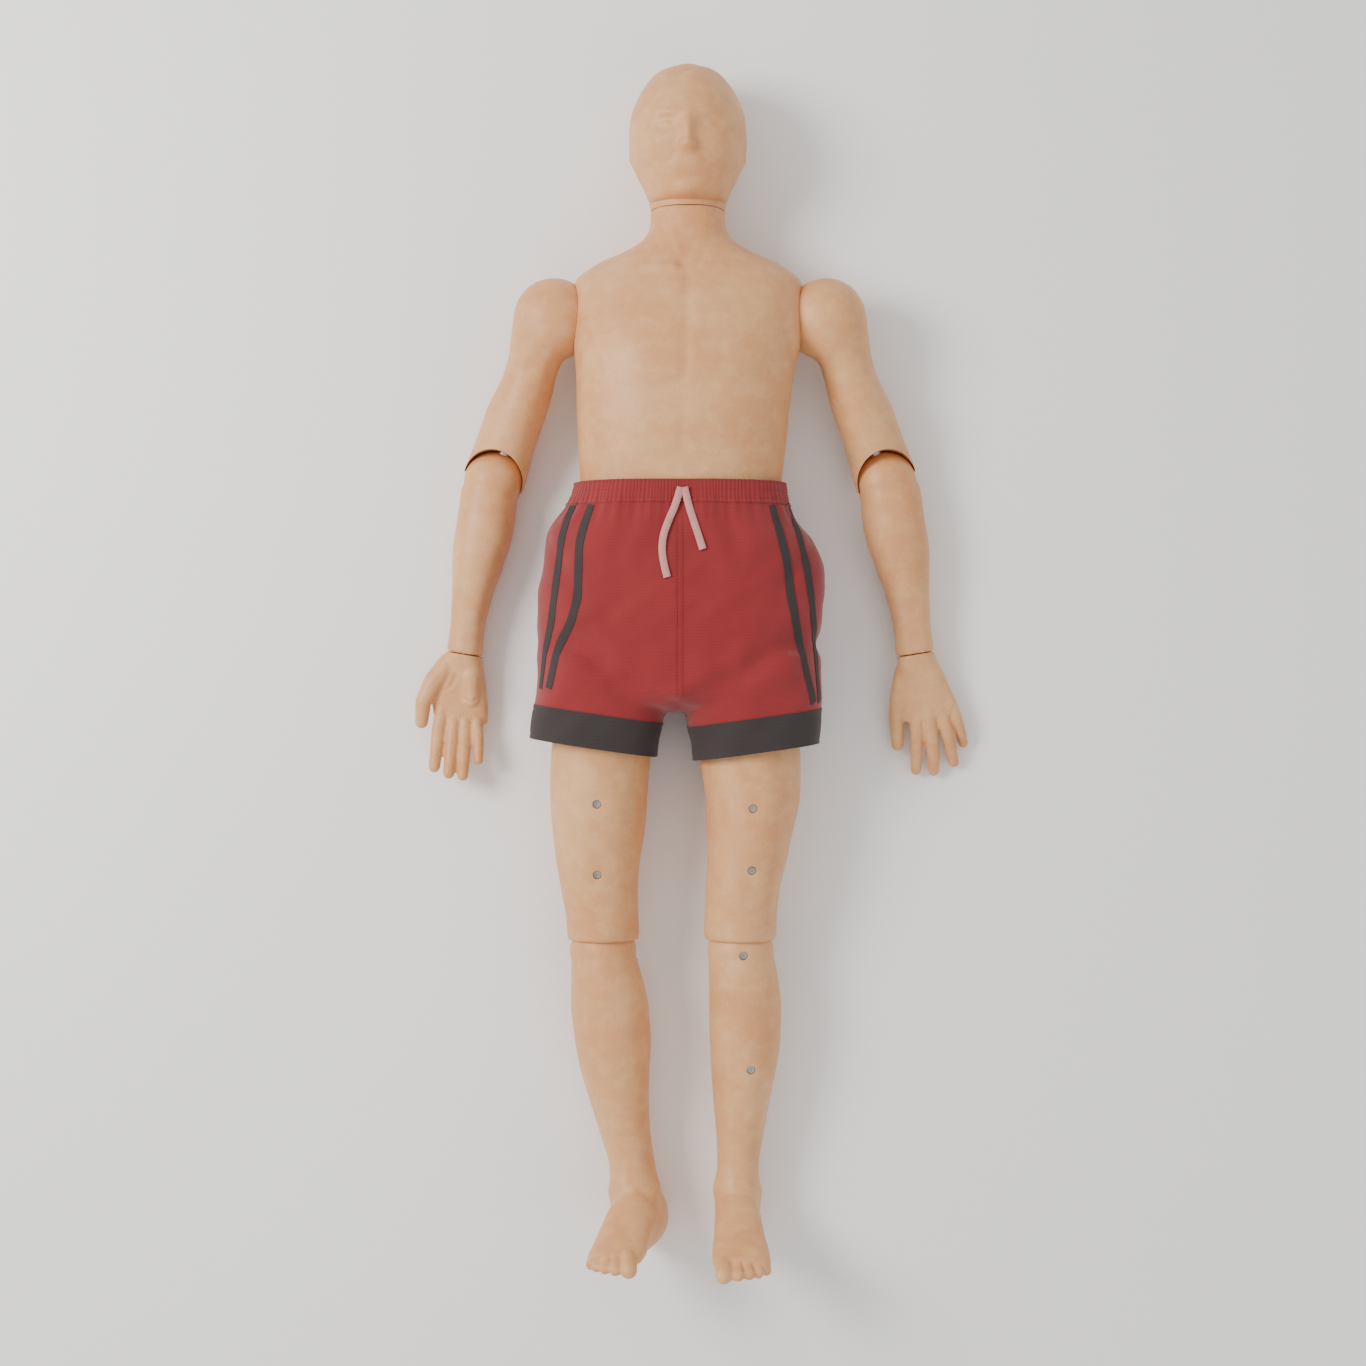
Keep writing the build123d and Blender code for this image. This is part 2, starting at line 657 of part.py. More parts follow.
# Forearm shell: elbow ball slit for the humerus fork, tapered sleeve, round wrist.
cavity_rings = [ring for ring in FOREARM_RINGS if ring[0] <= 212]
forearm_cavity = joined(
    ball(elbow, ELBOW_BALL_R - WALL, tuple(lower.z_dir), tuple(-front)),
    limb_solid(lower, cavity_rings, WALL),
)
lean = -upper.z_dir.dot(hinge) * 37
slit_plane = Plane(origin=elbow, x_dir=tuple(up_arm_x.normalized()), z_dir=tuple(hinge))
quarter = 1 if slit_plane.y_dir.Z > 0 else -1
slit = sector(slit_plane, 62, -20 * quarter, 114 * quarter, lean - 11, lean + 11)
with BuildPart() as forearm_shell:
    add(ball(elbow, ELBOW_BALL_R, tuple(lower.z_dir), tuple(-front)))
    add(limb_solid(lower, FOREARM_RINGS))
    add(forearm_cavity, mode=Mode.SUBTRACT)
    add(slit, mode=Mode.SUBTRACT)
    add(rod_along(lower, 190, lower_length - 13.9, 8 + PLAY), mode=Mode.SUBTRACT)
    add(rod_along(lower, lower_length - 20, lower_length + 5, 6 + PLAY), mode=Mode.SUBTRACT)
    add(BELOW_FLOOR, mode=Mode.SUBTRACT)
write_pair(forearm_shell.part, "forearm_shell")

# Wrist bolt: shank from the forearm into the palm, with its head in the palm.
wrist_bolt = joined(rod_along(hand, -13.8, 40, 6), rod_along(hand, 34, 40, 10))
write_pair(wrist_bolt, "wrist_bolt")

# Hands: palm and fingers in one, with the thumb beside them. The left lies back up with its
# thumb towards the body, the right palm up with its thumb away from it.
for side, sign in SIDES.items():
    elbow = Vector(sign * ELBOW_OUT, ELBOW_Y, ELBOW_Z)
    wrist = Vector(sign * WRIST_OUT, WRIST_Y, WRIST_Z)
    hand = limb_plane(tuple(wrist), tuple(wrist * 2 - elbow))
    thumb_points = []
    for across, along, drop in THUMB_POINTS:
        sideways = HAND_LEAN[side] * along - across
        thumb_points.append(tuple(hand.from_local_coords(Vector(sideways, drop, along))))
    thumb = joined(
        rod(thumb_points[0], thumb_points[1], 13),
        ball(thumb_points[1], 13),
        rod(thumb_points[1], thumb_points[2], 9.5),
        ball(thumb_points[2], 9.5),
    )
    with BuildPart() as hand_solid:
        add(limb_solid(hand, HAND_RINGS, lean=HAND_LEAN[side]))
        add(thumb)
        add(rod_along(hand, -5, 40.5, 6 + PLAY), mode=Mode.SUBTRACT)
        add(rod_along(hand, 33.8, 41, 10.2), mode=Mode.SUBTRACT)
        add(BELOW_FLOOR, mode=Mode.SUBTRACT)
    write(hand_solid.part, f"hand_{side}")

# ---------------------------------------------------------------- legs
for side, sign in SIDES.items():
    hip = HIPS[side]
    knee = KNEES[side]
    thigh_axis = limb_plane(hip, knee)
    thigh_length = (Vector(*knee) - Vector(*hip)).length
    ankle = (SHIN_RINGS[side][7][1], -690.0, 56.0)
    shin_axis = limb_plane(knee, ankle)

    # Femur: hub on the hip axle, rod, fork at the knee pin.
    femur_line = Plane(origin=knee, x_dir=tuple(-thigh_axis.z_dir), z_dir=(1, 0, 0))
    femur_solid = joined(
        rod((hip[0] - 22, HIP_Y, HIP_Z), (hip[0] + 22, HIP_Y, HIP_Z), 18),
        rod_along(thigh_axis, 12, thigh_length - 22, 10),
        fork(femur_line, 30, 6 + PLAY, root=18, eye_r=12),
        less=[rod((hip[0] - 30, HIP_Y, HIP_Z), (hip[0] + 30, HIP_Y, HIP_Z), HIP_AXLE_R + PLAY)],
    )
    write(femur_solid, f"femur_{side}")
    write(rod((knee[0] - 16, KNEE_Y, KNEE_Z), (knee[0] + 16, KNEE_Y, KNEE_Z), 6), f"knee_pin_{side}")

    # Thigh shell: hip ball, sleeve, knee cup with an arch at the back.
    cavity_rings = [ring for ring in THIGH_RINGS[side] if ring[0] >= -300]
    thigh_cavity = joined(
        ball(hip, HIP_BALL_R - WALL, (0, 1, 0), (0, 0, 1)), body_solid(cavity_rings, WALL, 1.0)
    )
    screw_places = SCREWS[f"thigh_screws_{side}"]
    with BuildPart() as thigh_shell:
        add(ball(hip, HIP_BALL_R, (0, 1, 0), (0, 0, 1)))
        add(body_solid(THIGH_RINGS[side], squareness=1.0))
        add(thigh_cavity, mode=Mode.SUBTRACT)
        for x_place, y_place, top in screw_places:
            add(rod((x_place, y_place, top - 15), (x_place, y_place, top), 9))
        for x_place, y_place, top in screw_places:
            add(rod((x_place, y_place, top - 3), (x_place, y_place, top + 30), 6), mode=Mode.SUBTRACT)
            add(rod((x_place, y_place, top - 13), (x_place, y_place, top), 2.6), mode=Mode.SUBTRACT)
        add(ball(knee, KNEE_BALL_R + GAP), mode=Mode.SUBTRACT)
        add(rod(knee, (knee[0], KNEE_Y, -40), 57), mode=Mode.SUBTRACT)
        add(rod((hip[0] - sign * 80, HIP_Y, HIP_Z), hip, HIP_AXLE_R + 1), mode=Mode.SUBTRACT)
        add(rod_along(thigh_axis, thigh_length - 110, thigh_length - 30, 10 + PLAY), mode=Mode.SUBTRACT)
    write(thigh_shell.part, f"thigh_shell_{side}")

    # Knee block: tongue on the knee pin and a spigot that the shin turns on.
    shin_dir = shin_axis.z_dir
    tongue = Plane(origin=knee, x_dir=tuple(shin_dir), z_dir=(1, 0, 0))
    knee_block = joined(
        lug(tongue, -TONGUE_HALF, TONGUE_HALF, 24, 6 + PLAY, 12),
        rod_along(shin_axis, 18, 120, 9),
        rod_along(shin_axis, 20, 30, 14),
    )
    write(knee_block, f"knee_block_{side}")
    shin_tube = joined(
        rod_along(shin_axis, 30.3, 300, 13),
        less=[rod_along(shin_axis, 29, 310, 9 + PLAY)],
    )
    write(shin_tube, f"shin_tube_{side}")

    # Lower leg shell with the foot: knee dome open at the back, sleeve, heel and toes.
    shin_rings = SHIN_RINGS[side]
    cavity_rings = [ring for ring in shin_rings if ring[0] >= -645]
    leg_cavity = joined(
        ball(knee, KNEE_BALL_R - WALL, (0, 1, 0), (0, 0, -1)), body_solid(cavity_rings, WALL, 1.0)
    )
    foot_planes = []
    for height, centre_x, centre_y, half_x, half_y in even_rings(FOOT_RINGS[side], RING_SPACING):
        foot_planes.append((Plane.XY.offset(height), centre_x, centre_y, half_x, half_y))
    foot = skinned(foot_planes, 0.9)
    with BuildPart() as lower_leg_shell:
        add(ball(knee, KNEE_BALL_R, (0, 1, 0), (0, 0, -1)))
        add(body_solid(shin_rings, squareness=1.0))
        add(foot)
        add(leg_cavity, mode=Mode.SUBTRACT)
        add(
            block((knee[0] - 60, KNEE_Y - 16, -20), (knee[0] + 60, KNEE_Y + 60, KNEE_Z + 13)),
            mode=Mode.SUBTRACT,
        )
        if side == "left":
            for x_place, y_place, top in SCREWS["shin_screws_left"]:
                add(rod((x_place, y_place, top - 12), (x_place, y_place, top), 9))
            for x_place, y_place, top in SCREWS["shin_screws_left"]:
                add(rod((x_place, y_place, top - 3), (x_place, y_place, top + 30), 6), mode=Mode.SUBTRACT)
                add(rod((x_place, y_place, top - 11), (x_place, y_place, top), 2.6), mode=Mode.SUBTRACT)
        add(rod_along(shin_axis, 150, 301, 13 + PLAY), mode=Mode.SUBTRACT)
        add(BELOW_FLOOR, mode=Mode.SUBTRACT)
    write(lower_leg_shell.part, f"lower_leg_shell_{side}")

for name, places in SCREWS.items():
    with BuildPart() as screws:
        for x_place, y_place, top in places:
            add(rod((x_place, y_place, top - 2.9), (x_place, y_place, top + 0.4), 5.2))
            add(rod((x_place, y_place, top - 11), (x_place, y_place, top - 1), 2.5))
            socket = rod((x_place, y_place, top - 1.2), (x_place, y_place, top + 2), 2.2)
            add(socket, mode=Mode.SUBTRACT)
    write(screws.part, name)


# ---------------------------------------------------------------- swim shorts
def cloth_tube(rings, thickness, squareness=0.62):
    """A tube of cloth whose outer surface runs through the rings."""
    first, last = rings[0], rings[-1]
    inner_rings = [(first[0] + 0.5, *first[1:])] + list(rings[1:-1]) + [(last[0] - 0.5, *last[1:])]
    inside = body_solid(inner_rings, thickness, squareness)
    return joined(body_solid(rings, squareness=squareness), less=[inside])


write(cloth_tube(WAISTBAND_RINGS, BAND_CLOTH, 0.86), "waistband")
write(cloth_tube(SEAT_RINGS, CLOTH), "shorts_seat")
for side in SIDES:
    write(cloth_tube(LEG_RINGS[side], CLOTH), f"shorts_leg_{side}")
    write(cloth_tube(HEM_RINGS[side], BAND_CLOTH), f"hem_band_{side}")

# Drawstring tails: straight runs joined by arcs as large as the runs allow.
for side, route in DRAWSTRING_ROUTES.items():
    radii = []
    for before, corner, after in zip(route, route[1:], route[2:]):
        run_in = Vector(*corner) - Vector(*before)
        run_out = Vector(*after) - Vector(*corner)
        half_turn = run_in.get_angle(run_out) * pi / 360
        radii.append(0.45 * min(run_in.length, run_out.length) / tan(half_turn))
    with BuildPart() as drawstring:
        with BuildLine() as path:
            tail = FilletPolyline(*route, radius=radii)
        with BuildSketch(Plane(origin=tail @ 0, z_dir=tail % 0)):
            Circle(CORD_R)
        sweep()
    print("drawstring", side, "radii", [round(value) for value in radii], "length", round(tail.length, 1))
    write(drawstring.part, f"drawstring_{side}")
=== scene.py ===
"""Jointed rescue manikin in swim shorts: the skins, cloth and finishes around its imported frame."""

import itertools
import json
import math

import bmesh
import bpy
import numpy as np
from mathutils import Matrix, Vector
from mathutils.bvhtree import BVHTree


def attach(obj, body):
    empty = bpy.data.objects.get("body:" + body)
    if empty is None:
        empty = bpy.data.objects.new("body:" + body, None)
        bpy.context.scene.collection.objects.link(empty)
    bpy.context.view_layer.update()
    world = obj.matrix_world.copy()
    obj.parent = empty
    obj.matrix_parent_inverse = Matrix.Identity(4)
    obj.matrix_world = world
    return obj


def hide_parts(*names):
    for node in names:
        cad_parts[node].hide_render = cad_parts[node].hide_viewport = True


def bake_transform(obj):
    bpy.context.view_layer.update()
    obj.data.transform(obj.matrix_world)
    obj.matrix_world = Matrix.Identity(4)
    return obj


bl_info = {
    "name": "Jointed Rescue Manikin",
    "version": (1, 0, 0),
    "blender": (4, 5, 0),
    "location": "View3D > Sidebar > Manikin",
    "description": "Builds the vinyl skins, swim shorts and finishes of a jointed rescue manikin",
    "category": "Add Mesh",
}

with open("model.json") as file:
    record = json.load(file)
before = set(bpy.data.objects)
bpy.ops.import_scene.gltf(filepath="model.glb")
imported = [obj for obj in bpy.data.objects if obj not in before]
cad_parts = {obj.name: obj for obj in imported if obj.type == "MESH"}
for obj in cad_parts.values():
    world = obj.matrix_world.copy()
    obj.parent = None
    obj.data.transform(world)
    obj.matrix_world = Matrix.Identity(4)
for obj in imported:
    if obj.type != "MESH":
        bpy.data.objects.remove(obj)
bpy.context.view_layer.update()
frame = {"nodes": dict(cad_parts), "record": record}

# ------------------------------------------------------------------ the manikin's own frame
# Lengths in tables are millimetres in the maker's frame, whose y is PLAN_MIDDLE ahead of the part's.
PLAN_MIDDLE = 19.0
MM = 0.001
SIGN = {"left": 1.0, "right": -1.0}

NECK = np.array((-3.0, 668.0, 85.0))
SHOULDER = np.array((190.0, 500.0, 85.0))
ELBOW = np.array((279.0, 277.0, 43.0))
WRIST = np.array((321.0, 32.0, 33.0))
HIPS = {"left": np.array((72.0, 55.0, 90.0)), "right": np.array((-106.0, 55.0, 90.0))}
KNEES = {"left": np.array((71.0, -385.0, 74.0)), "right": np.array((-122.0, -385.0, 74.0))}
BALLS = {"neck": 54.5, "shoulder": 57.0, "elbow": 42.0, "hip": 72.0, "knee": 47.2}
SEAM_GAP = 0.8
CENTRE_SEAM_X = -15.0

# Across the body: place along y, centre x, half width, lowest z, highest z.
TORSO = [
    (650, -3, 52, 33, 137),
    (628, -3, 53, 32, 138),
    (610, -3, 62, 30, 139),
    (594, -3, 86, 27, 142),
    (574, -3, 130, 18, 150),
    (548, -3, 160, 8, 164),
    (510, -3, 163, 1, 182),
    (465, -4, 159, 0.5, 195),
    (420, -7, 152, 0.5, 200),
    (360, -10, 148, 0.5, 197),
    (322, -11, 145, 1, 192),
    (295, -12, 143, 2.5, 187),
    (268, -13, 141, 5, 182),
    (236, -14, 141, 5, 181),
    (180, -17, 142, 5, 183),
    (120, -17, 147, 5, 187),
    (44, -17, 149, 5, 185),
]
CROTCH = [
    (90, -17, 15, 8, 176),
    (30, -17, 15, 14, 170),
    (-20, -17, 14, 26, 156),
    (-44, -17, 12, 48, 130),
]
HEAD = [
    (655, -3, 40, 60, 130),
    (660, -3, 53, 42, 147),
    (676, -3, 60, 32, 160),
    (694, -3, 69, 20, 169),
    (715, -3, 77, 8, 177),
    (745, -3, 82, 0.5, 182),
    (776, -3, 80, 0.5, 179),
    (800, -3, 73, 2, 169),
    (822, -3, 61, 14, 155),
    (842, -3, 43, 34, 133),
    (854, -3, 16, 66, 102),
]
THIGH = {
    "left": [
        (40, 72, 71, 19, 161),
        (0, 73, 72, 12, 162),
        (-60, 78, 73, 7, 161),
        (-113, 84, 71, 6, 158),
        (-174, 88, 66, 6, 154),
        (-216, 84, 61, 8, 149),
        (-258, 80, 56, 13, 143),
        (-300, 74, 52, 17, 136),
        (-342, 71, 51, 20, 130),
        (-364, 70.5, 51, 22, 127.5),
        (-370, 70.5, 49.5, 23, 126),
    ],
    "right": [
        (40, -106, 71, 19, 161),
        (0, -108, 72, 12, 162),
        (-60, -118, 71, 7, 161),
        (-113, -125, 70, 6, 158),
        (-174, -128, 68, 6, 154),
        (-216, -128, 65, 8, 149),
        (-258, -129, 59, 13, 143),
        (-300, -127, 54, 17, 136),
        (-342, -123, 51, 20, 130),
        (-364, -122, 51, 22, 127.5),
        (-370, -122, 49.5, 23, 126),
    ],
}
SHIN = {
    "left": [
        (-386, 72, 46, 27, 120),
        (-402, 73, 47, 24, 122),
        (-430, 76, 49, 21, 124),
        (-468, 78, 51, 8, 118),
        (-512, 78, 50, 1, 113),
        (-556, 76, 46, 1, 107),
        (-600, 73, 40, 6, 100),
        (-645, 71, 34, 13, 92),
        (-690, 68, 30, 17, 88),
        (-725, 67, 31, 15, 96),
        (-752, 67, 32, 16, 100),
        (-776, 67, 26, 24, 92),
    ],
    "right": [
        (-386, -121, 46, 27, 120),
        (-402, -120, 47, 24, 122),
        (-430, -116, 51, 21, 124),
        (-468, -113, 55, 8, 118),
        (-512, -109, 54, 1, 113),
        (-556, -106, 49, 1, 107),
        (-600, -100, 42, 6, 100),
        (-645, -92, 36, 13, 92),
        (-690, -82, 33, 17, 88),
        (-725, -78, 34, 15, 96),
        (-752, -76, 35, 16, 100),
        (-776, -74, 28, 24, 92),
    ],
}
# Feet in level planes: height, centre x, centre y, half width, half length.
FOOT = {
    "left": [
        (1, 67, -779, 16, 14),
        (8, 67, -777, 25, 27),
        (24, 67, -772, 30, 37),
        (52, 67, -764, 31, 48),
        (92, 67, -767, 33, 45),
        (130, 67, -780, 37, 33),
        (160, 69, -791, 40, 23),
        (182, 70, -797, 40, 17),
        (196, 70, -799, 35, 13),
    ],
    "right": [
        (1, -62, -779, 16, 14),
        (8, -62, -777, 25, 27),
        (24, -62, -772, 31, 37),
        (52, -68, -764, 34, 48),
        (92, -80, -766, 36, 45),
        (126, -90, -777, 37, 33),
        (152, -97, -787, 38, 23),
        (172, -103, -793, 37, 17),
        (186, -106, -795, 32, 13),
    ],
}
# Toes: root x, root z, tip x, tip z, radius.
TOES = {
    "left": [
        (46, 178, 45, 213, 12.2),
        (63, 182, 64, 213, 8.6),
        (76, 180, 79, 208, 8.2),
        (88, 174, 92, 201, 7.8),
        (99, 166, 103, 189, 7.6),
    ],
    "right": [
        (-86, 176, -83, 201, 12.0),
        (-101, 174, -101, 201, 8.6),
        (-113, 168, -115, 194, 8.2),
        (-123, 160, -127, 185, 7.8),
        (-131, 150, -135, 174, 7.6),
    ],
}
TOE_Y = {"left": (-797.0, -805.0), "right": (-792.0, -801.0)}
# Along a limb from the joint above: distance, outer half, inner half, front, back.
UPPER_ARM = [
    (-57, 1, 1, 1, 1),
    (-55, 15, 15, 15, 15),
    (-48, 30.7, 30.7, 30.7, 30.7),
    (-36, 44.2, 44.2, 44.2, 44.2),
    (-20, 53.4, 53.4, 53.4, 53.4),
    (0, 57, 56.5, 57, 56),
    (20, 54, 50, 55.5, 53),
    (40, 49, 38, 51, 49),
    (58, 44.5, 30, 47, 46),
    (76, 41, 31, 44, 44),
    (98, 39.5, 34, 43, 43),
    (122, 41.5, 36.5, 44.5, 42),
    (150, 44.5, 37.5, 45.5, 41.5),
    (190, 43.5, 39, 44, 41),
    (222, 44, 43, 43, 41.5),
    (243, 44.5, 44.5, 42.5, 42),
    (247.5, 43, 43, 41.5, 41),
]
FOREARM = [
    (4, 43, 40, 40, 38.5),
    (20, 46, 40.5, 41, 38.5),
    (62, 45, 43, 41, 37.5),
    (90, 45, 41, 40, 36.5),
    (108, 44, 37, 39, 35.5),
    (128, 41, 34.5, 37, 34),
    (150, 37, 29, 34, 31),
    (172, 33.5, 26.5, 31.5, 29),
    (194, 31, 24.5, 29.5, 27.5),
    (216, 28.5, 24.5, 27.5, 27),
    (236, 28, 26.5, 27, 27),
    (245.5, 28.2, 27.6, 27.4, 27.2),
    (248.2, 27.2, 26.8, 26.6, 26.6),
]
# Hands, left shown back up, in the wrist's frame: across (towards the thumb is minus), along, up, radius.
PALM = [
    (0, 4, 0, 26.6, 24.5),
    (1, 16, 0, 29, 21),
    (2, 34, -1, 34, 17.5),
    (3, 56, -3, 38.5, 16),
    (6, 78, -4, 41, 14.5),
    (9, 94, -5, 39, 12.5),
]
FINGERS = {
    "index": [(-13, 84, -3, 10.4), (-17, 118, 0, 9.6), (-21, 142, -4, 8.8), (-25, 165, -12, 7.8)],
    "middle": [(5, 88, -2, 10.6), (3, 126, 2, 9.8), (2, 152, -3, 9.0), (0, 171, -13, 7.8)],
    "ring": [(23, 86, -3, 10.2), (27, 122, 0, 9.4), (29, 146, -6, 8.6), (31, 164, -15, 7.6)],
    "little": [(39, 78, -5, 9.2), (44, 106, -4, 8.4), (47, 124, -9, 7.8), (49, 139, -16, 7.0)],
}
CURLED = {
    "index": [(-18, 84, -2, 10.6), (-18, 116, 6, 10.2), (-16, 143, 12, 9.2), (-14, 165, 20, 8.2)],
    "middle": [(0, 88, -2, 10.8), (3, 122, 7, 10.2), (6, 150, 14, 9.2), (8, 170, 24, 8.2)],
    "ring": [(16, 86, -2, 10.2), (21, 120, 6, 9.6), (25, 148, 13, 8.8), (28, 170, 23, 7.8)],
    "little": [(30, 80, -4, 9.2), (37, 106, 4, 8.6), (42, 126, 10, 7.8), (46, 145, 17, 7.0)],
}
THUMB = {
    "left": [(-18, 22, -3, 14), (-31, 50, -5, 12.4), (-40, 84, -8, 11), (-45, 125, -12, 9.0)],
    "right": [(-20, 18, 2, 16), (-36, 46, 5, 15), (-46, 76, 8, 11.5), (-44, 106, 7, 9.6)],
}

# Outer surface of the shorts, as the torso's rows.
SEAT = [
    (300, -13, 143, 1, 186),
    (268, -13.5, 145.5, 1, 187),
    (253, -15, 147.5, 1, 188),
    (232, -18, 157, 1, 190),
    (211, -19, 172, 1, 192),
    (190, -14, 186, 1, 194),
    (149, -10, 195, 1, 196),
    (107, -12.5, 200.5, 1, 197),
    (65, -16, 198.4, 1, 196),
    (44, -18, 193.5, 1, 194),
    (22, -14, 196.3, 1, 192),
    (-20, -16, 198.4, 1, 187),
    (-40, -18, 190, 12, 172),
    (-48, -18, 160, 40, 140),
]
SHORTS_LEG = {
    "left": [
        (30, 86, 92, 3, 186),
        (-20, 87, 96, 1, 184),
        (-62, 88, 94, 1, 178),
        (-104, 91, 88, 1, 174),
        (-160, 92, 86, 1, 172),
    ],
    "right": [
        (30, -118, 90, 3, 186),
        (-20, -122, 91, 1, 184),
        (-62, -129, 91, 1, 178),
        (-104, -136, 88.5, 1, 174),
        (-160, -138, 87, 1, 172),
    ],
}
# Hem: place along y at the leg's middle, and how far it rises per millimetre to the manikin's left.
HEM_TOP = {"left": (-60.0, 0.14), "right": (-54.0, -0.15)}
HEM_HEIGHT = 46.0
WAIST_TOP = 267.0
WAISTBAND_HEIGHT = 30.0
CLOTH_THICKNESS = 1.4
# Stripes: points seen from the front, x and y, from the waist down.
STRIPES = {
    "left_inner": [(111, 236), (118, 210), (131, 158), (137, 105), (148, 52), (158, 8), (170, -40)],
    "left_outer": [(135, 236), (143, 215), (157, 160), (166, 105), (171, 55), (174, 10), (178, -38)],
    "right_inner": [(-134, 236), (-142, 214), (-151, 180), (-153, 105), (-162, 72), (-180, 40), (-194, -20)],
    "right_outer": [(-159, 236), (-166, 220), (-176, 188), (-186, 105), (-190, 72), (-198, 40), (-206, -20)],
}
STRIPE_WIDTH = 12.0
DRAWSTRING = {
    "right": [
        (-13, 255, 192),
        (-19, 233, 193.4),
        (-29, 211, 194.8),
        (-38, 186, 196.4),
        (-38, 158, 198.2),
        (-31, 133, 199.6),
    ],
    "left": [
        (-8, 255, 192),
        (-3, 233, 193.4),
        (4, 211, 194.8),
        (11, 190, 196.2),
        (17, 171, 197.2),
    ],
}
# Sunk screws: x, y of the axis and height of the head.
SCREWS = {
    "thigh_left": [(86, -182, 148), (85, -268, 136)],
    "thigh_right": [(-128, -176, 148), (-128, -274, 135)],
    "lower_leg_left": [(74, -388, 115), (85, -549, 102)],
}


# ------------------------------------------------------------------ properties
class ManikinSizes(bpy.types.PropertyGroup):
    """Sizes that a user would change."""

    skin_voxel: bpy.props.FloatProperty(
        name="Skin detail", description="Grid of the body skins", default=0.0032, unit="LENGTH"
    )
    fine_voxel: bpy.props.FloatProperty(
        name="Fine detail", description="Grid for the head, hands and feet", default=0.0021, unit="LENGTH"
    )
    cloth_voxel: bpy.props.FloatProperty(
        name="Cloth detail", description="Grid that the shorts are made on", default=0.0042, unit="LENGTH"
    )
    tape_width: bpy.props.FloatProperty(
        name="Drawstring width", description="Width of the flat drawstring", default=0.010, unit="LENGTH"
    )
    camera_height: bpy.props.FloatProperty(
        name="Camera height", description="Height of the camera over the floor", default=3.09, unit="LENGTH"
    )


class ManikinColours(bpy.types.PropertyGroup):
    """Colours that a user would change."""

    vinyl: bpy.props.FloatVectorProperty(
        name="Vinyl", description="Soft vinyl of the body", subtype="COLOR", default=(0.76, 0.435, 0.20)
    )
    vinyl_shade: bpy.props.FloatVectorProperty(
        name="Vinyl shade", description="Redder patches", subtype="COLOR", default=(0.66, 0.305, 0.125)
    )
    cloth: bpy.props.FloatVectorProperty(
        name="Shorts cloth", description="Red cloth", subtype="COLOR", default=(0.25, 0.010, 0.013)
    )
    band: bpy.props.FloatVectorProperty(
        name="Bands and stripes", description="Dark cloth", subtype="COLOR", default=(0.030, 0.021, 0.021)
    )
    tape: bpy.props.FloatVectorProperty(
        name="Drawstring", description="Pale pink tape", subtype="COLOR", default=(0.62, 0.28, 0.26)
    )
    floor: bpy.props.FloatVectorProperty(
        name="Floor", description="Pale studio floor", subtype="COLOR", default=(0.97, 0.97, 0.97)
    )


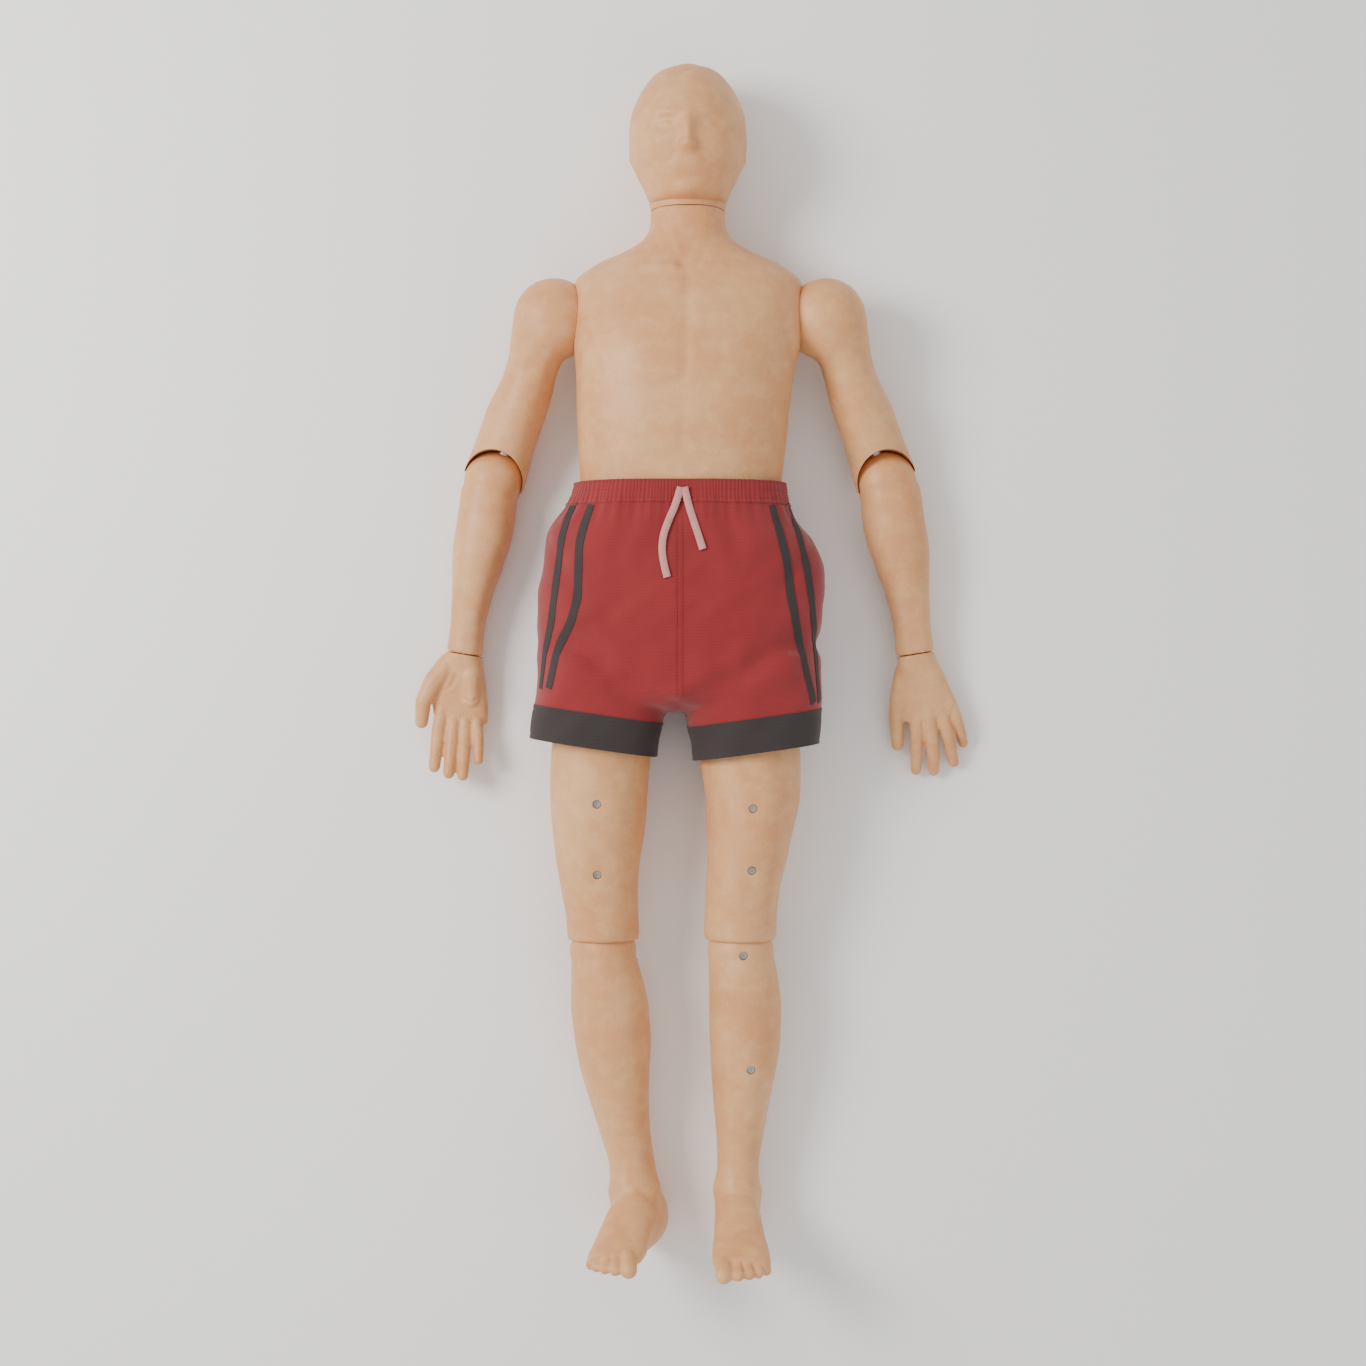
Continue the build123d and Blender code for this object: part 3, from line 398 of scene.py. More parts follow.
# ------------------------------------------------------------------ shader wires
class Wire:
    """A node's output socket. Arithmetic on it adds nodes, so shader maths reads as Python."""

    def __init__(self, tree, socket=None):
        self.tree = tree
        self.socket = socket

    def node(self, kind, settings=None, sockets=None, output=0):
        """Add any node: its type, its settings first, then the values or links of its sockets."""
        made = self.tree.nodes.new(kind)
        for name, value in (settings or {}).items():
            if name == "stops":
                for element, (place, colour) in zip(self.stops(made, len(value)), value):
                    element.position = place
                    element.color = colour
            else:
                setattr(made, name, value)
        for name, value in (sockets or {}).items():
            if isinstance(value, Wire):
                self.tree.links.new(value.socket, made.inputs[name])
            else:
                made.inputs[name].default_value = value
        return Wire(self.tree, made.outputs[output])

    @staticmethod
    def stops(made, count):
        """The colour stops of a ramp, as many as are asked for."""
        elements = made.color_ramp.elements
        while len(elements) < count:
            elements.new(1.0)
        return elements

    @staticmethod
    def kind(value):
        if isinstance(value, Wire):
            return value.socket.type
        return "VALUE" if isinstance(value, (int, float)) else "VECTOR"

    def maths(self, operation, first, second):
        """One sum on numbers, colours or vectors."""
        kinds = {self.kind(first), self.kind(second)}
        if kinds == {"VALUE"}:
            return self.node("ShaderNodeMath", {"operation": operation}, {0: first, 1: second})
        if "RGBA" in kinds:
            pair = [self.as_colour(value) for value in (first, second)]
            return self.node(
                "ShaderNodeMix",
                {"data_type": "RGBA", "blend_type": operation},
                {0: 1.0, 6: pair[0], 7: pair[1]},
                2,
            )
        pair = [value if isinstance(value, Wire) else self.as_vector(value) for value in (first, second)]
        return self.node("ShaderNodeVectorMath", {"operation": operation}, {0: pair[0], 1: pair[1]})

    @staticmethod
    def as_colour(value):
        if isinstance(value, Wire):
            return value
        if isinstance(value, (int, float)):
            return (value, value, value, 1.0)
        return (*value[:3], 1.0)

    @staticmethod
    def as_vector(value):
        return (value, value, value) if isinstance(value, (int, float)) else tuple(value)

    def __add__(self, other):
        return self.maths("ADD", self, other)

    def __radd__(self, other):
        return self.maths("ADD", other, self)

    def __sub__(self, other):
        return self.maths("SUBTRACT", self, other)

    def __rsub__(self, other):
        return self.maths("SUBTRACT", other, self)

    def __mul__(self, other):
        return self.maths("MULTIPLY", self, other)

    def __rmul__(self, other):
        return self.maths("MULTIPLY", other, self)

    def mixed(self, start, end):
        """From one colour to another, by this number."""
        pair = [self.as_colour(value) for value in (start, end)]
        settings = {"data_type": "RGBA", "blend_type": "MIX"}
        return self.node("ShaderNodeMix", settings, {0: self, 6: pair[0], 7: pair[1]}, 2)

    def step(self, low, high):
        """0 below low, 1 above high, and smooth between them."""
        settings = {"interpolation_type": "SMOOTHSTEP"}
        return self.node("ShaderNodeMapRange", settings, {0: self, 1: low, 2: high})

    def axis(self, index):
        """One axis of a vector."""
        return self.node("ShaderNodeSeparateXYZ", None, {0: self}, index)

    def noise(self, scale, detail=3.0, roughness=0.5):
        """Soft noise over this vector, from 0 to 1."""
        sockets = {"Vector": self, "Scale": scale, "Detail": detail, "Roughness": roughness}
        return self.node("ShaderNodeTexNoise", None, sockets)

    def cells(self, scale, feature="F1"):
        """Distance in a cell pattern over this vector."""
        return self.node("ShaderNodeTexVoronoi", {"feature": feature}, {"Vector": self, "Scale": scale})

    def wave(self, operation):
        """A trigonometric function of this number."""
        return self.node("ShaderNodeMath", {"operation": operation}, {0: self})


def new_material(name):
    """A material with nothing in it but its surface shader, and a wire of object coordinates."""
    material = bpy.data.materials.new(name)
    material.use_nodes = True
    tree = material.node_tree
    surface = tree.nodes["Principled BSDF"]
    place = Wire(tree).node("ShaderNodeTexCoord", None, None, 3)
    return material, surface, place


def wire_up(surface, colour, roughness, height, distance, strength=1.0):
    """Send colour, roughness and relief to a surface shader."""
    tree = surface.id_data
    tree.links.new(colour.socket, surface.inputs["Base Color"])
    tree.links.new(roughness.socket, surface.inputs["Roughness"])
    sockets = {"Height": height, "Distance": distance, "Strength": strength}
    bump = height.node("ShaderNodeBump", None, sockets)
    tree.links.new(bump.socket, surface.inputs["Normal"])


def vinyl_material():
    """Soft satin vinyl: warm mottling, faint scuffs, fine pores and mould orange-peel."""
    colours = bpy.context.scene.manikin_colours
    material, surface, place = new_material("soft_vinyl")
    broad = place.noise(9.0, 3.0, 0.55)
    patches = place.noise(46.0, 4.0, 0.6)
    speckle = place.noise(420.0, 2.0)
    tone = broad.step(0.36, 0.66) * 0.55 + patches.step(0.4, 0.7) * 0.45
    colour = tone.mixed(colours.vinyl_shade, colours.vinyl)
    colour = colour * speckle.step(0.25, 0.75).mixed((0.955, 0.95, 0.945), (1.03, 1.03, 1.03))
    streak = (place * (1.0, 0.22, 1.0)).noise(150.0, 2.0, 0.7).step(0.66, 0.74)
    worn = place.noise(13.0, 2.0).step(0.52, 0.66)
    scuff = streak * worn
    colour = (scuff * 0.16).mixed(colour, (0.80, 0.60, 0.42))
    grime = place.noise(23.0, 5.0, 0.65).step(0.60, 0.80) * 0.16
    colour = grime.mixed(colour, (0.36, 0.19, 0.10))
    roughness = 0.40 + patches * 0.12 + scuff * 0.14
    pores = place.cells(640.0)
    height = pores.step(0.0, 0.5) * 0.5 + place.noise(120.0, 3.0) * 0.9 - scuff * 0.2
    wire_up(surface, colour, roughness, height, 0.0003, 0.55)
    surface.inputs["Subsurface Weight"].default_value = 0.06
    surface.inputs["Subsurface Radius"].default_value = (0.012, 0.005, 0.003)
    surface.inputs["Specular IOR Level"].default_value = 0.42
    return material


def cloth_material(name, base, thread=1500.0, sheen=0.25):
    """Plain-woven cloth: warp and weft threads, slub, faded patches and a soft sheen."""
    material, surface, place = new_material(name)
    warp = (place.axis(0) * thread).wave("SINE") * (place.axis(1) * thread).wave("SINE")
    weft = (place.axis(2) * thread).wave("SINE") * (place.axis(1) * thread + 1.6).wave("SINE")
    weave = (warp + weft) * 0.25 + 0.5
    slub = (place * (1.0, 0.12, 1.0)).noise(260.0, 3.0, 0.6)
    faded = place.noise(11.0, 4.0, 0.6).step(0.35, 0.75)
    dark = tuple(channel * 0.80 for channel in base)
    light = tuple(min(1.0, channel * 1.16 + 0.004) for channel in base)
    colour = (weave * 0.5 + slub * 0.5).mixed(dark, light)
    colour = colour * faded.mixed((0.92, 0.92, 0.93), (1.06, 1.05, 1.04))
    roughness = 0.80 + slub * 0.12
    height = weave * 0.7 + slub * 0.5
    wire_up(surface, colour, roughness, height, 0.00035, 0.6)
    surface.inputs["Sheen Weight"].default_value = sheen
    surface.inputs["Sheen Roughness"].default_value = 0.5
    return material


def tape_material():
    """Flat braided tape: diagonal plaits and slightly soiled edges."""
    colours = bpy.context.scene.manikin_colours
    material, surface, place = new_material("braided_tape")
    left = (place.axis(1) * 2100.0 + place.axis(0) * 2100.0).wave("SINE")
    right = (place.axis(1) * 2100.0 - place.axis(0) * 2100.0).wave("SINE")
    plait = left * right * 0.5 + 0.5
    soil = place.noise(70.0, 3.0).step(0.4, 0.75)
    colour = plait.mixed(tuple(c * 0.78 for c in colours.tape), tuple(c * 1.12 for c in colours.tape))
    colour = (soil * 0.25).mixed(colour, (0.34, 0.12, 0.11))
    wire_up(surface, colour, 0.78 + soil * 0.1, plait, 0.0004, 0.7)
    surface.inputs["Sheen Weight"].default_value = 0.2
    return material


def steel_material(name, base, direction, rough=0.3):
    """Brushed steel: fine lines along one direction, dull stains and small pits."""
    material, surface, place = new_material(name)
    lines = (place * direction).noise(700.0, 3.0, 0.7)
    stains = place.noise(38.0, 4.0, 0.6).step(0.5, 0.8)
    pits = place.cells(300.0).step(0.02, 0.10)
    colour = lines.mixed(tuple(c * 0.82 for c in base), tuple(min(1.0, c * 1.1) for c in base))
    colour = (stains * 0.35).mixed(colour, (0.22, 0.17, 0.13))
    roughness = rough + lines * 0.14 + stains * 0.22
    wire_up(surface, colour, roughness, lines * 0.6 + pits * 0.4, 0.0001, 0.5)
    surface.inputs["Metallic"].default_value = 1.0
    return material


def floor_material():
    """Pale matt floor with a very faint unevenness."""
    colours = bpy.context.scene.manikin_colours
    material, surface, place = new_material("studio_floor")
    tone = place.noise(2.0, 2.0)
    base = colours.floor
    colour = tone.mixed(tuple(c * 0.985 for c in base), tuple(base))
    wire_up(surface, colour, 0.62 + tone * 0.06, place.noise(300.0, 2.0), 0.0001, 0.2)
    return material


FINISHES = {
    "vinyl": vinyl_material,
    "red_cloth": lambda: cloth_material("red_cloth", tuple(bpy.context.scene.manikin_colours.cloth)),
    "dark_band": lambda: cloth_material(
        "dark_band", tuple(bpy.context.scene.manikin_colours.band), 1300.0, 0.08
    ),
    "drawstring": tape_material,
    "steel": lambda: steel_material("tube_steel", (0.56, 0.56, 0.57), (1.0, 0.05, 1.0)),
    "axle_steel": lambda: steel_material("ground_steel", (0.62, 0.62, 0.64), (0.05, 1.0, 1.0), 0.2),
    "screw_steel": lambda: steel_material("plated_steel", (0.5, 0.48, 0.44), (1.0, 1.0, 0.05), 0.36),
    "floor": floor_material,
}
made_finishes = {}


def finish(obj, name):
    """Give a piece one of the finishes."""
    if name not in made_finishes:
        made_finishes[name] = FINISHES[name]()
    obj.data.materials.clear()
    obj.data.materials.append(made_finishes[name])
    name != "floor"
    return obj


# ------------------------------------------------------------------ mesh helpers
def smooth_rows(rows, spacing):
    """The same rows read off at an even spacing, along smooth lines that never overshoot."""
    table = np.array(rows, float)
    place = table[:, 0]
    travel = np.abs(place - place[0])
    runs = np.diff(place)
    slopes = np.diff(table, axis=0) / runs[:, None]
    bends = slopes[:-1] * slopes[1:]
    inner = np.where(bends > 0, 2 * bends / np.where(bends > 0, slopes[:-1] + slopes[1:], 1), 0)
    slope = np.vstack([np.zeros(table.shape[1]), inner, np.zeros(table.shape[1])])
    count = max(4, int(round(abs(place[-1] - place[0]) / spacing)) + 1)
    result = []
    for value in np.linspace(place[0], place[-1], count):
        passed = int(np.searchsorted(travel, abs(value - place[0]), "right"))
        index = min(len(runs) - 1, passed - 1)
        run = runs[index]
        t = (value - place[index]) / run
        ease = t * t * (3 - 2 * t)
        row = table[index] + (table[index + 1] - table[index]) * ease
        row = row + run * slope[index] * t * (1 - t) ** 2 - run * slope[index + 1] * t * t * (1 - t)
        row[0] = value
        result.append(row)
    return result


def ring(centre, across, up, right, left, top, bottom, squareness=1.0, count=56):
    """A soft closed outline about a point, with its four half widths."""
    angle = np.linspace(0, 2 * np.pi, count, endpoint=False)
    c, s = np.cos(angle), np.sin(angle)
    x = np.sign(c) * np.abs(c) ** squareness * np.where(c > 0, right, left)
    y = np.sign(s) * np.abs(s) ** squareness * np.where(s > 0, top, bottom)
    return np.asarray(centre) + x[:, None] * np.asarray(across) + y[:, None] * np.asarray(up)


def loft(rings):
    """Points and faces of a closed tube through rings of equal count."""
    count = len(rings[0])
    points = np.vstack([*rings, rings[0].mean(0), rings[-1].mean(0)])
    first, last = len(points) - 2, len(points) - 1
    faces = []
    for row in range(len(rings) - 1):
        for step in range(count):
            a = row * count + step
            b = row * count + (step + 1) % count
            faces.append((a, b, b + count, a + count))
    for step in range(count):
        following = (step + 1) % count
        faces.append((following, step, first))
        base = (len(rings) - 1) * count
        faces.append((base + step, base + following, last))
    return points, faces


def body_tube(rows, squareness=0.9, spacing=8.0):
    """A closed tube along the body from rows that give lowest and highest z."""
    rings = []
    for y, centre_x, half, low, high in smooth_rows(rows, spacing):
        middle, reach = (low + high) / 2, (high - low) / 2
        centre = (centre_x, y, middle)
        rings.append(ring(centre, (1, 0, 0), (0, 0, 1), half, half, reach, reach, squareness))
    return loft(rings)


def limb_frame(start, end):
    """Directions along a limb, across it away from the body, and up out of its front."""
    along = (end - start) / np.linalg.norm(end - start)
    across = np.cross((0, 0, 1.0), along)
    across = across / np.linalg.norm(across)
    across = across * (1 if across[0] * end[0] > 0 else -1)
    up = np.cross(along, across)
    up = up * (1 if up[2] > 0 else -1)
    return along, across, up


def limb_tube(start, end, rows, spacing=6.0):
    """A closed tube along a limb."""
    along, across, up = limb_frame(start, end)
    rings = []
    for distance, outer, inner, front, back in smooth_rows(rows, spacing):
        rings.append(ring(start + along * distance, across, up, outer, inner, front, back, 0.96))
    return loft(rings)


def capsule_chain(points, count=24):
    """Closed round-ended tubes from ball to ball: x, y, z and radius of each."""
    parts = []
    for first, second in zip(points, points[1:]):
        a, b = np.array(first[:3], float), np.array(second[:3], float)
        along = (b - a) / np.linalg.norm(b - a)
        helper = np.array((0, 0, 1.0)) if abs(along[2]) < 0.9 else np.array((1.0, 0, 0))
        across = np.cross(helper, along)
        across = across / np.linalg.norm(across)
        up = np.cross(along, across)
        rings = []
        for angle in np.linspace(-85, 0, 6):
            r = first[3] * math.cos(math.radians(angle))
            centre = a + along * first[3] * math.sin(math.radians(angle))
            rings.append(ring(centre, across, up, r, r, r, r, 1.0, count))
        for angle in np.linspace(0, 85, 6):
            r = second[3] * math.cos(math.radians(angle))
            centre = b + along * second[3] * math.sin(math.radians(angle))
            rings.append(ring(centre, across, up, r, r, r, r, 1.0, count))
        parts.append(loft(rings))
    return parts


def sphere(centre, radius, count=48):
    """A closed ball."""
    rings = []
    for angle in np.linspace(-88, 88, count // 2):
        r = radius * math.cos(math.radians(angle))
        height = radius * math.sin(math.radians(angle))
        level = np.asarray(centre) + (0, 0, height)
        rings.append(ring(level, (1, 0, 0), (0, 1, 0), r, r, r, r, 1.0, count))
    return loft(rings)


def post(start, end, radius, count=48):
    """A closed round bar."""
    start, end = np.asarray(start, float), np.asarray(end, float)
    along = (end - start) / np.linalg.norm(end - start)
    helper = np.array((0, 0, 1.0)) if abs(along[2]) < 0.9 else np.array((1.0, 0, 0))
    across = np.cross(helper, along)
    across = across / np.linalg.norm(across)
    up = np.cross(along, across)
    rings = [ring(point, across, up, radius, radius, radius, radius, 1.0, count) for point in (start, end)]
    return loft(rings)


def new_object(name, *shapes):
    """One object from closed shapes whose points are in the maker's frame."""
    points, faces = [], []
    base = 0
    for shape_points, shape_faces in shapes:
        points.append(shape_points)
        faces += [tuple(base + index for index in face) for face in shape_faces]
        base += len(shape_points)
    placed = (np.vstack(points) - (0, PLAN_MIDDLE, 0)) * MM
    mesh = bpy.data.meshes.new(name)
    mesh.from_pydata(placed.tolist(), [], faces)
    edited = bmesh.new()
    edited.from_mesh(mesh)
    bmesh.ops.recalc_face_normals(edited, faces=edited.faces)
    edited.to_mesh(mesh)
    edited.free()
    obj = bpy.data.objects.new(name, mesh)
    bpy.context.scene.collection.objects.link(obj)
    return obj


def apply_modifiers(obj):
    """Replace a mesh by what its modifiers make of it."""
    bpy.context.view_layer.update()
    evaluated = obj.evaluated_get(bpy.context.evaluated_depsgraph_get())
    mesh = bpy.data.meshes.new_from_object(evaluated)
    obj.modifiers.clear()
    old = obj.data
    obj.data = mesh
    bpy.data.meshes.remove(old)
    mesh.name = obj.name
    return obj


def fused(obj, voxel, rounds):
    """Merge overlapping closed shapes into one skin and soften where they meet."""
    remesh = obj.modifiers.new("grid", "REMESH")
    remesh.mode = "VOXEL"
    remesh.voxel_size = voxel
    soften = obj.modifiers.new("soften", "SMOOTH")
    soften.factor = 0.5
    soften.iterations = rounds
    return apply_modifiers(obj)


def cut(obj, *shapes):
    """Take closed shapes away from a skin."""
    cutter = new_object(obj.name + "_cutter", *shapes)
    hollow = obj.modifiers.new("cut", "BOOLEAN")
    hollow.operation = "DIFFERENCE"
    hollow.solver = "EXACT"
    hollow.use_self = len(shapes) > 1
    hollow.object = cutter
    apply_modifiers(obj)
    bpy.data.objects.remove(cutter)
    return obj


def read(obj):
    """A mesh's points and normals in the maker's frame, in millimetres."""
    mesh = obj.data
    points = np.zeros(len(mesh.vertices) * 3)
    mesh.vertices.foreach_get("co", points)
    normals = np.zeros(len(mesh.vertices) * 3)
    mesh.vertex_normals.foreach_get("vector", normals)
    return points.reshape(-1, 3) / MM + (0, PLAN_MIDDLE, 0), normals.reshape(-1, 3)


def put_back(obj, points):
    """Write changed points to a mesh."""
    placed = (points - (0, PLAN_MIDDLE, 0)) * MM
    obj.data.vertices.foreach_set("co", placed.ravel())
    obj.data.update()


def near(points, centre, radii):
    """How near points are to a centre: 1 at it, falling softly to 0."""
    offset = (points - np.asarray(centre, float)) / np.asarray(radii, float)
    return np.exp(-(offset**2).sum(1))


def line_near(points, line, width):
    """How near points are to a line of points: 1 on it, falling softly to 0."""
    nearest = np.full(len(points), 1e9)
    for first, second in zip(line, line[1:]):
        a, b = np.array(first, float), np.array(second, float)
        along = b - a
        t = np.clip(((points - a) @ along) / (along @ along), 0, 1)
        nearest = np.minimum(nearest, ((points - a - t[:, None] * along) ** 2).sum(1))
    return np.exp(-nearest / width**2)


def sculpt(obj, swells=(), pushes=(), lines=()):
    """Shape a skin: swells along the normal, pushes in a direction, and lines in or out."""
    points, normals = read(obj)
    shift = np.zeros_like(points)
    for centre, radii, amount in swells:
        shift += normals * (near(points, centre, radii) * amount)[:, None]
    for centre, radii, direction in pushes:
        shift += near(points, centre, radii)[:, None] * np.asarray(direction, float)
    for line, width, amount in lines:
        shift += normals * (line_near(points, line, width) * amount)[:, None]
    put_back(obj, points + shift)
    return obj


def lay_on_floor(obj, lowest=0.3):
    """Flatten what would reach below the floor."""
    points, _ = read(obj)
    points[:, 2] = np.maximum(points[:, 2], lowest)
    put_back(obj, points)
    return obj


def smooth_shaded(obj, angle=38.0):
    """Smooth shading, with edges sharp where faces turn by more than an angle."""
    mesh = obj.data
    mesh.polygons.foreach_set("use_smooth", [True] * len(mesh.polygons))
    mesh.set_sharp_from_angle(angle=math.radians(angle))
    return obj


def skin_done(obj, body, *nodes):
    """Last steps of a skin: shading, finish, body and the nodes that it stands for."""
    lay_on_floor(obj)
    smooth_shaded(obj)
    finish(obj, "vinyl")
    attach(obj, body)
    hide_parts(*nodes)
    return obj


def mirrored_lines(lines):
    """Lines and their mirror images about the neck's middle plane."""
    result = list(lines)
    for line, width, amount in lines:
        result.append(([(2 * NECK[0] - x, y, z) for x, y, z in line], width, amount))
    return result


def both_sides(places):
    """Swells or pushes and their mirror images about the neck's middle plane."""
    result = list(places)
    for centre, radii, amount in places:
        other = amount if np.isscalar(amount) else (-amount[0], amount[1], amount[2])
        result.append(((2 * NECK[0] - centre[0], centre[1], centre[2]), radii, other))
    return result


def flipped(shape, sign):
    """A shape mirrored about the plane x = 0 for the right-hand side."""
    points, faces = shape
    return points * (sign, 1, 1), faces


# ------------------------------------------------------------------ body skins
class MANIKIN_OT_head(bpy.types.Operator):
    """Head: a smooth bald shell with a calm, shallow face and flat ears"""

    bl_idname = "manikin.head"
    bl_label = "Head"

    def execute(self, context):
        sizes = context.scene.manikin_sizes
        head = new_object("head_skin", body_tube(HEAD, 0.94, 5.0))
        fused(head, sizes.fine_voxel, 6)
        middle = NECK[0]
        pushes = [
            ((middle, 742, 180), (8.5, 22, 60), (0, 0, 8.0)),
            ((middle, 722, 180), (9.5, 9, 60), (0, 0, 9.0)),
            ((middle, 668, 150), (20, 9, 40), (0, -2.0, 6.0)),
            ((middle, 696, 170), (22, 12, 50), (0, 0, 3.0)),
        ]
        pushes += both_sides(
            [
                ((middle + 29, 752, 175), (15, 10, 60), (0, 0, -6.5)),
                ((middle + 29, 752, 175), (9, 5.5, 60), (0, 0, 4.0)),
                ((middle + 26, 768, 175), (20, 6.5, 60), (0, 0, 3.0)),
                ((middle + 44, 724, 160), (17, 15, 40), (2.0, 0, 3.0)),
                ((middle + 8.5, 720, 180), (5.5, 6, 60), (0, 0, 4.0)),
                ((middle + 81, 737, 84), (16, 27, 20), (3.0, 0, 0)),
                ((middle + 81, 739, 90), (16, 15, 9), (-6.5, 0, 0)),
                ((middle + 81, 722, 84), (16, 8, 9), (2.5, 0, 0)),
            ]
        )
        sculpt(head, pushes=pushes)
        lines = mirrored_lines(
            [
                ([(middle, 691.5, 178), (middle + 12, 692.5, 176), (middle + 23, 693, 170)], 2.6, -2.4),
                ([(middle + 20, 750, 178), (middle + 29, 748, 178), (middle + 38, 750, 174)], 2.0, -1.4),
                ([(middle + 15, 716, 182), (middle + 25, 701, 172)], 5.0, -1.4),
            ]
        )
        lines += [
            ([(middle - 15, 698, 178), (middle, 697, 180), (middle + 15, 698, 178)], 4.0, 1.6),
            ([(middle - 14, 685, 172), (middle, 684, 174), (middle + 14, 685, 172)], 4.2, 2.2),
            ([(middle - 14, 676, 168), (middle, 675, 169), (middle + 14, 676, 168)], 4.0, -2.0),
        ]
        sculpt(head, lines=lines)
        cut(head, sphere(NECK, BALLS["neck"] + SEAM_GAP))
        skin_done(head, "head", "head_shell")
        return {"FINISHED"}


class MANIKIN_OT_torso(bpy.types.Operator):
    """Torso: one shell with the neck moulded on and cups for the shoulder and hip balls"""

    bl_idname = "manikin.torso"
    bl_label = "Torso"

    def execute(self, context):
        sizes = context.scene.manikin_sizes
        torso = new_object("torso_skin", body_tube(TORSO, 0.9), body_tube(CROTCH, 0.8))
        fused(torso, sizes.skin_voxel, 5)
        swells = both_sides(
            [
                ((62, 440, 200), (62, 46, 60), 5.0),
                ((105, 545, 160), (40, 22, 40), 2.5),
                ((60, 340, 195), (38, 40, 40), 1.8),
                ((95, 470, 0), (40, 60, 40), 3.0),
            ]
        )
        swells += [((NECK[0] - 7, 568, 150), (9, 8, 20), -4.5), ((-10, 330, 196), (60, 40, 40), 1.0)]
        lines = mirrored_lines(
            [
                ([(18, 560, 155), (60, 563, 155), (118, 552, 150)], 8.0, 2.2),
                ([(18, 549, 160), (62, 551, 158), (115, 540, 152)], 7.0, -1.6),
                ([(12, 398, 202), (60, 386, 202), (105, 398, 190), (140, 430, 160)], 9.0, -2.6),
                ([(26, 640, 137), (16, 600, 143), (4, 574, 148)], 6.5, 1.5),
                ([(128, 475, 150), (140, 450, 140), (150, 425, 120)], 10.0, -2.5),
            ]
        )
        lines += [
            ([(-4, 545, 165), (-5, 470, 196), (-8, 390, 205)], 8.0, -2.2),
            ([(-9, 380, 203), (-11, 300, 192)], 7.0, -1.3),
            ([(-3, 560, 10), (-8, 420, 0), (-12, 250, 0)], 12.0, -3.0),
        ]
        sculpt(torso, swells=swells, lines=lines)
        for side, sign in SIGN.items():
            cut(torso, sphere(SHOULDER * (sign, 1, 1), BALLS["shoulder"] + SEAM_GAP))
            hip = HIPS[side]
            cut(torso, sphere(hip, BALLS["hip"] + SEAM_GAP))
            cut(torso, post(hip, (hip[0], hip[1], 260), BALLS["hip"] + 1.8))
        skin_done(torso, "torso", "torso_shell")
        ball = frame["nodes"]["neck_ball"]
        smooth_shaded(ball)
        finish(ball, "vinyl")
        return {"FINISHED"}


class MANIKIN_OT_arms(bpy.types.Operator):
    """Arms: upper arm with its shoulder ball and arched elbow cup, and forearm with its elbow ball"""

    bl_idname = "manikin.arms"
    bl_label = "Arms"

    def execute(self, context):
        sizes = context.scene.manikin_sizes
        along, _, up = limb_frame(ELBOW, WRIST)
        for side, sign in SIGN.items():
            mirror = (sign, 1, 1)
            upper = new_object(
                f"upper_arm_skin_{side}",
                flipped(limb_tube(SHOULDER, ELBOW, UPPER_ARM), sign),
                flipped(sphere(SHOULDER, BALLS["shoulder"]), sign),
            )
            fused(upper, sizes.skin_voxel, 5)
            swells = [
                (np.array((236, 380, 108)) * mirror, (24, 46, 30), 3.0),
                (np.array((222, 420, 30)) * mirror, (26, 50, 26), 2.5),
            ]
            deltoid = [(205, 445, 122), (228, 420, 112), (256, 430, 90)]
            hollow = [np.array(point) * mirror for point in deltoid]
            sculpt(upper, swells=swells, lines=[(hollow, 9.0, -1.6)])
            cut(upper, flipped(sphere(ELBOW, BALLS["elbow"] + SEAM_GAP), sign))
            cut(upper, flipped(post(ELBOW, ELBOW + up * 80, BALLS["elbow"] + SEAM_GAP), sign))
            skin_done(upper, f"upper_arm_{side}", f"upper_arm_shell_{side}")

            slim = 1.0 if side == "left" else 0.93
            rows = [(row[0], row[1] * slim, row[2] * slim, row[3], row[4]) for row in FOREARM]
            lower = new_object(
                f"forearm_skin_{side}",
                flipped(limb_tube(ELBOW, WRIST, rows), sign),
                flipped(sphere(ELBOW, BALLS["elbow"]), sign),
            )
            fused(lower, sizes.skin_voxel * 0.9, 5)
            flat = np.array((ELBOW + along * 210 + up * 30)) * mirror
            point = np.array((ELBOW - along * 8 - up * 40)) * mirror
            sculpt(lower, swells=[(flat, (14, 40, 14), -1.2), (point, (16, 18, 14), 2.5)])
            skin_done(lower, f"forearm_{side}", f"forearm_shell_{side}")
        return {"FINISHED"}


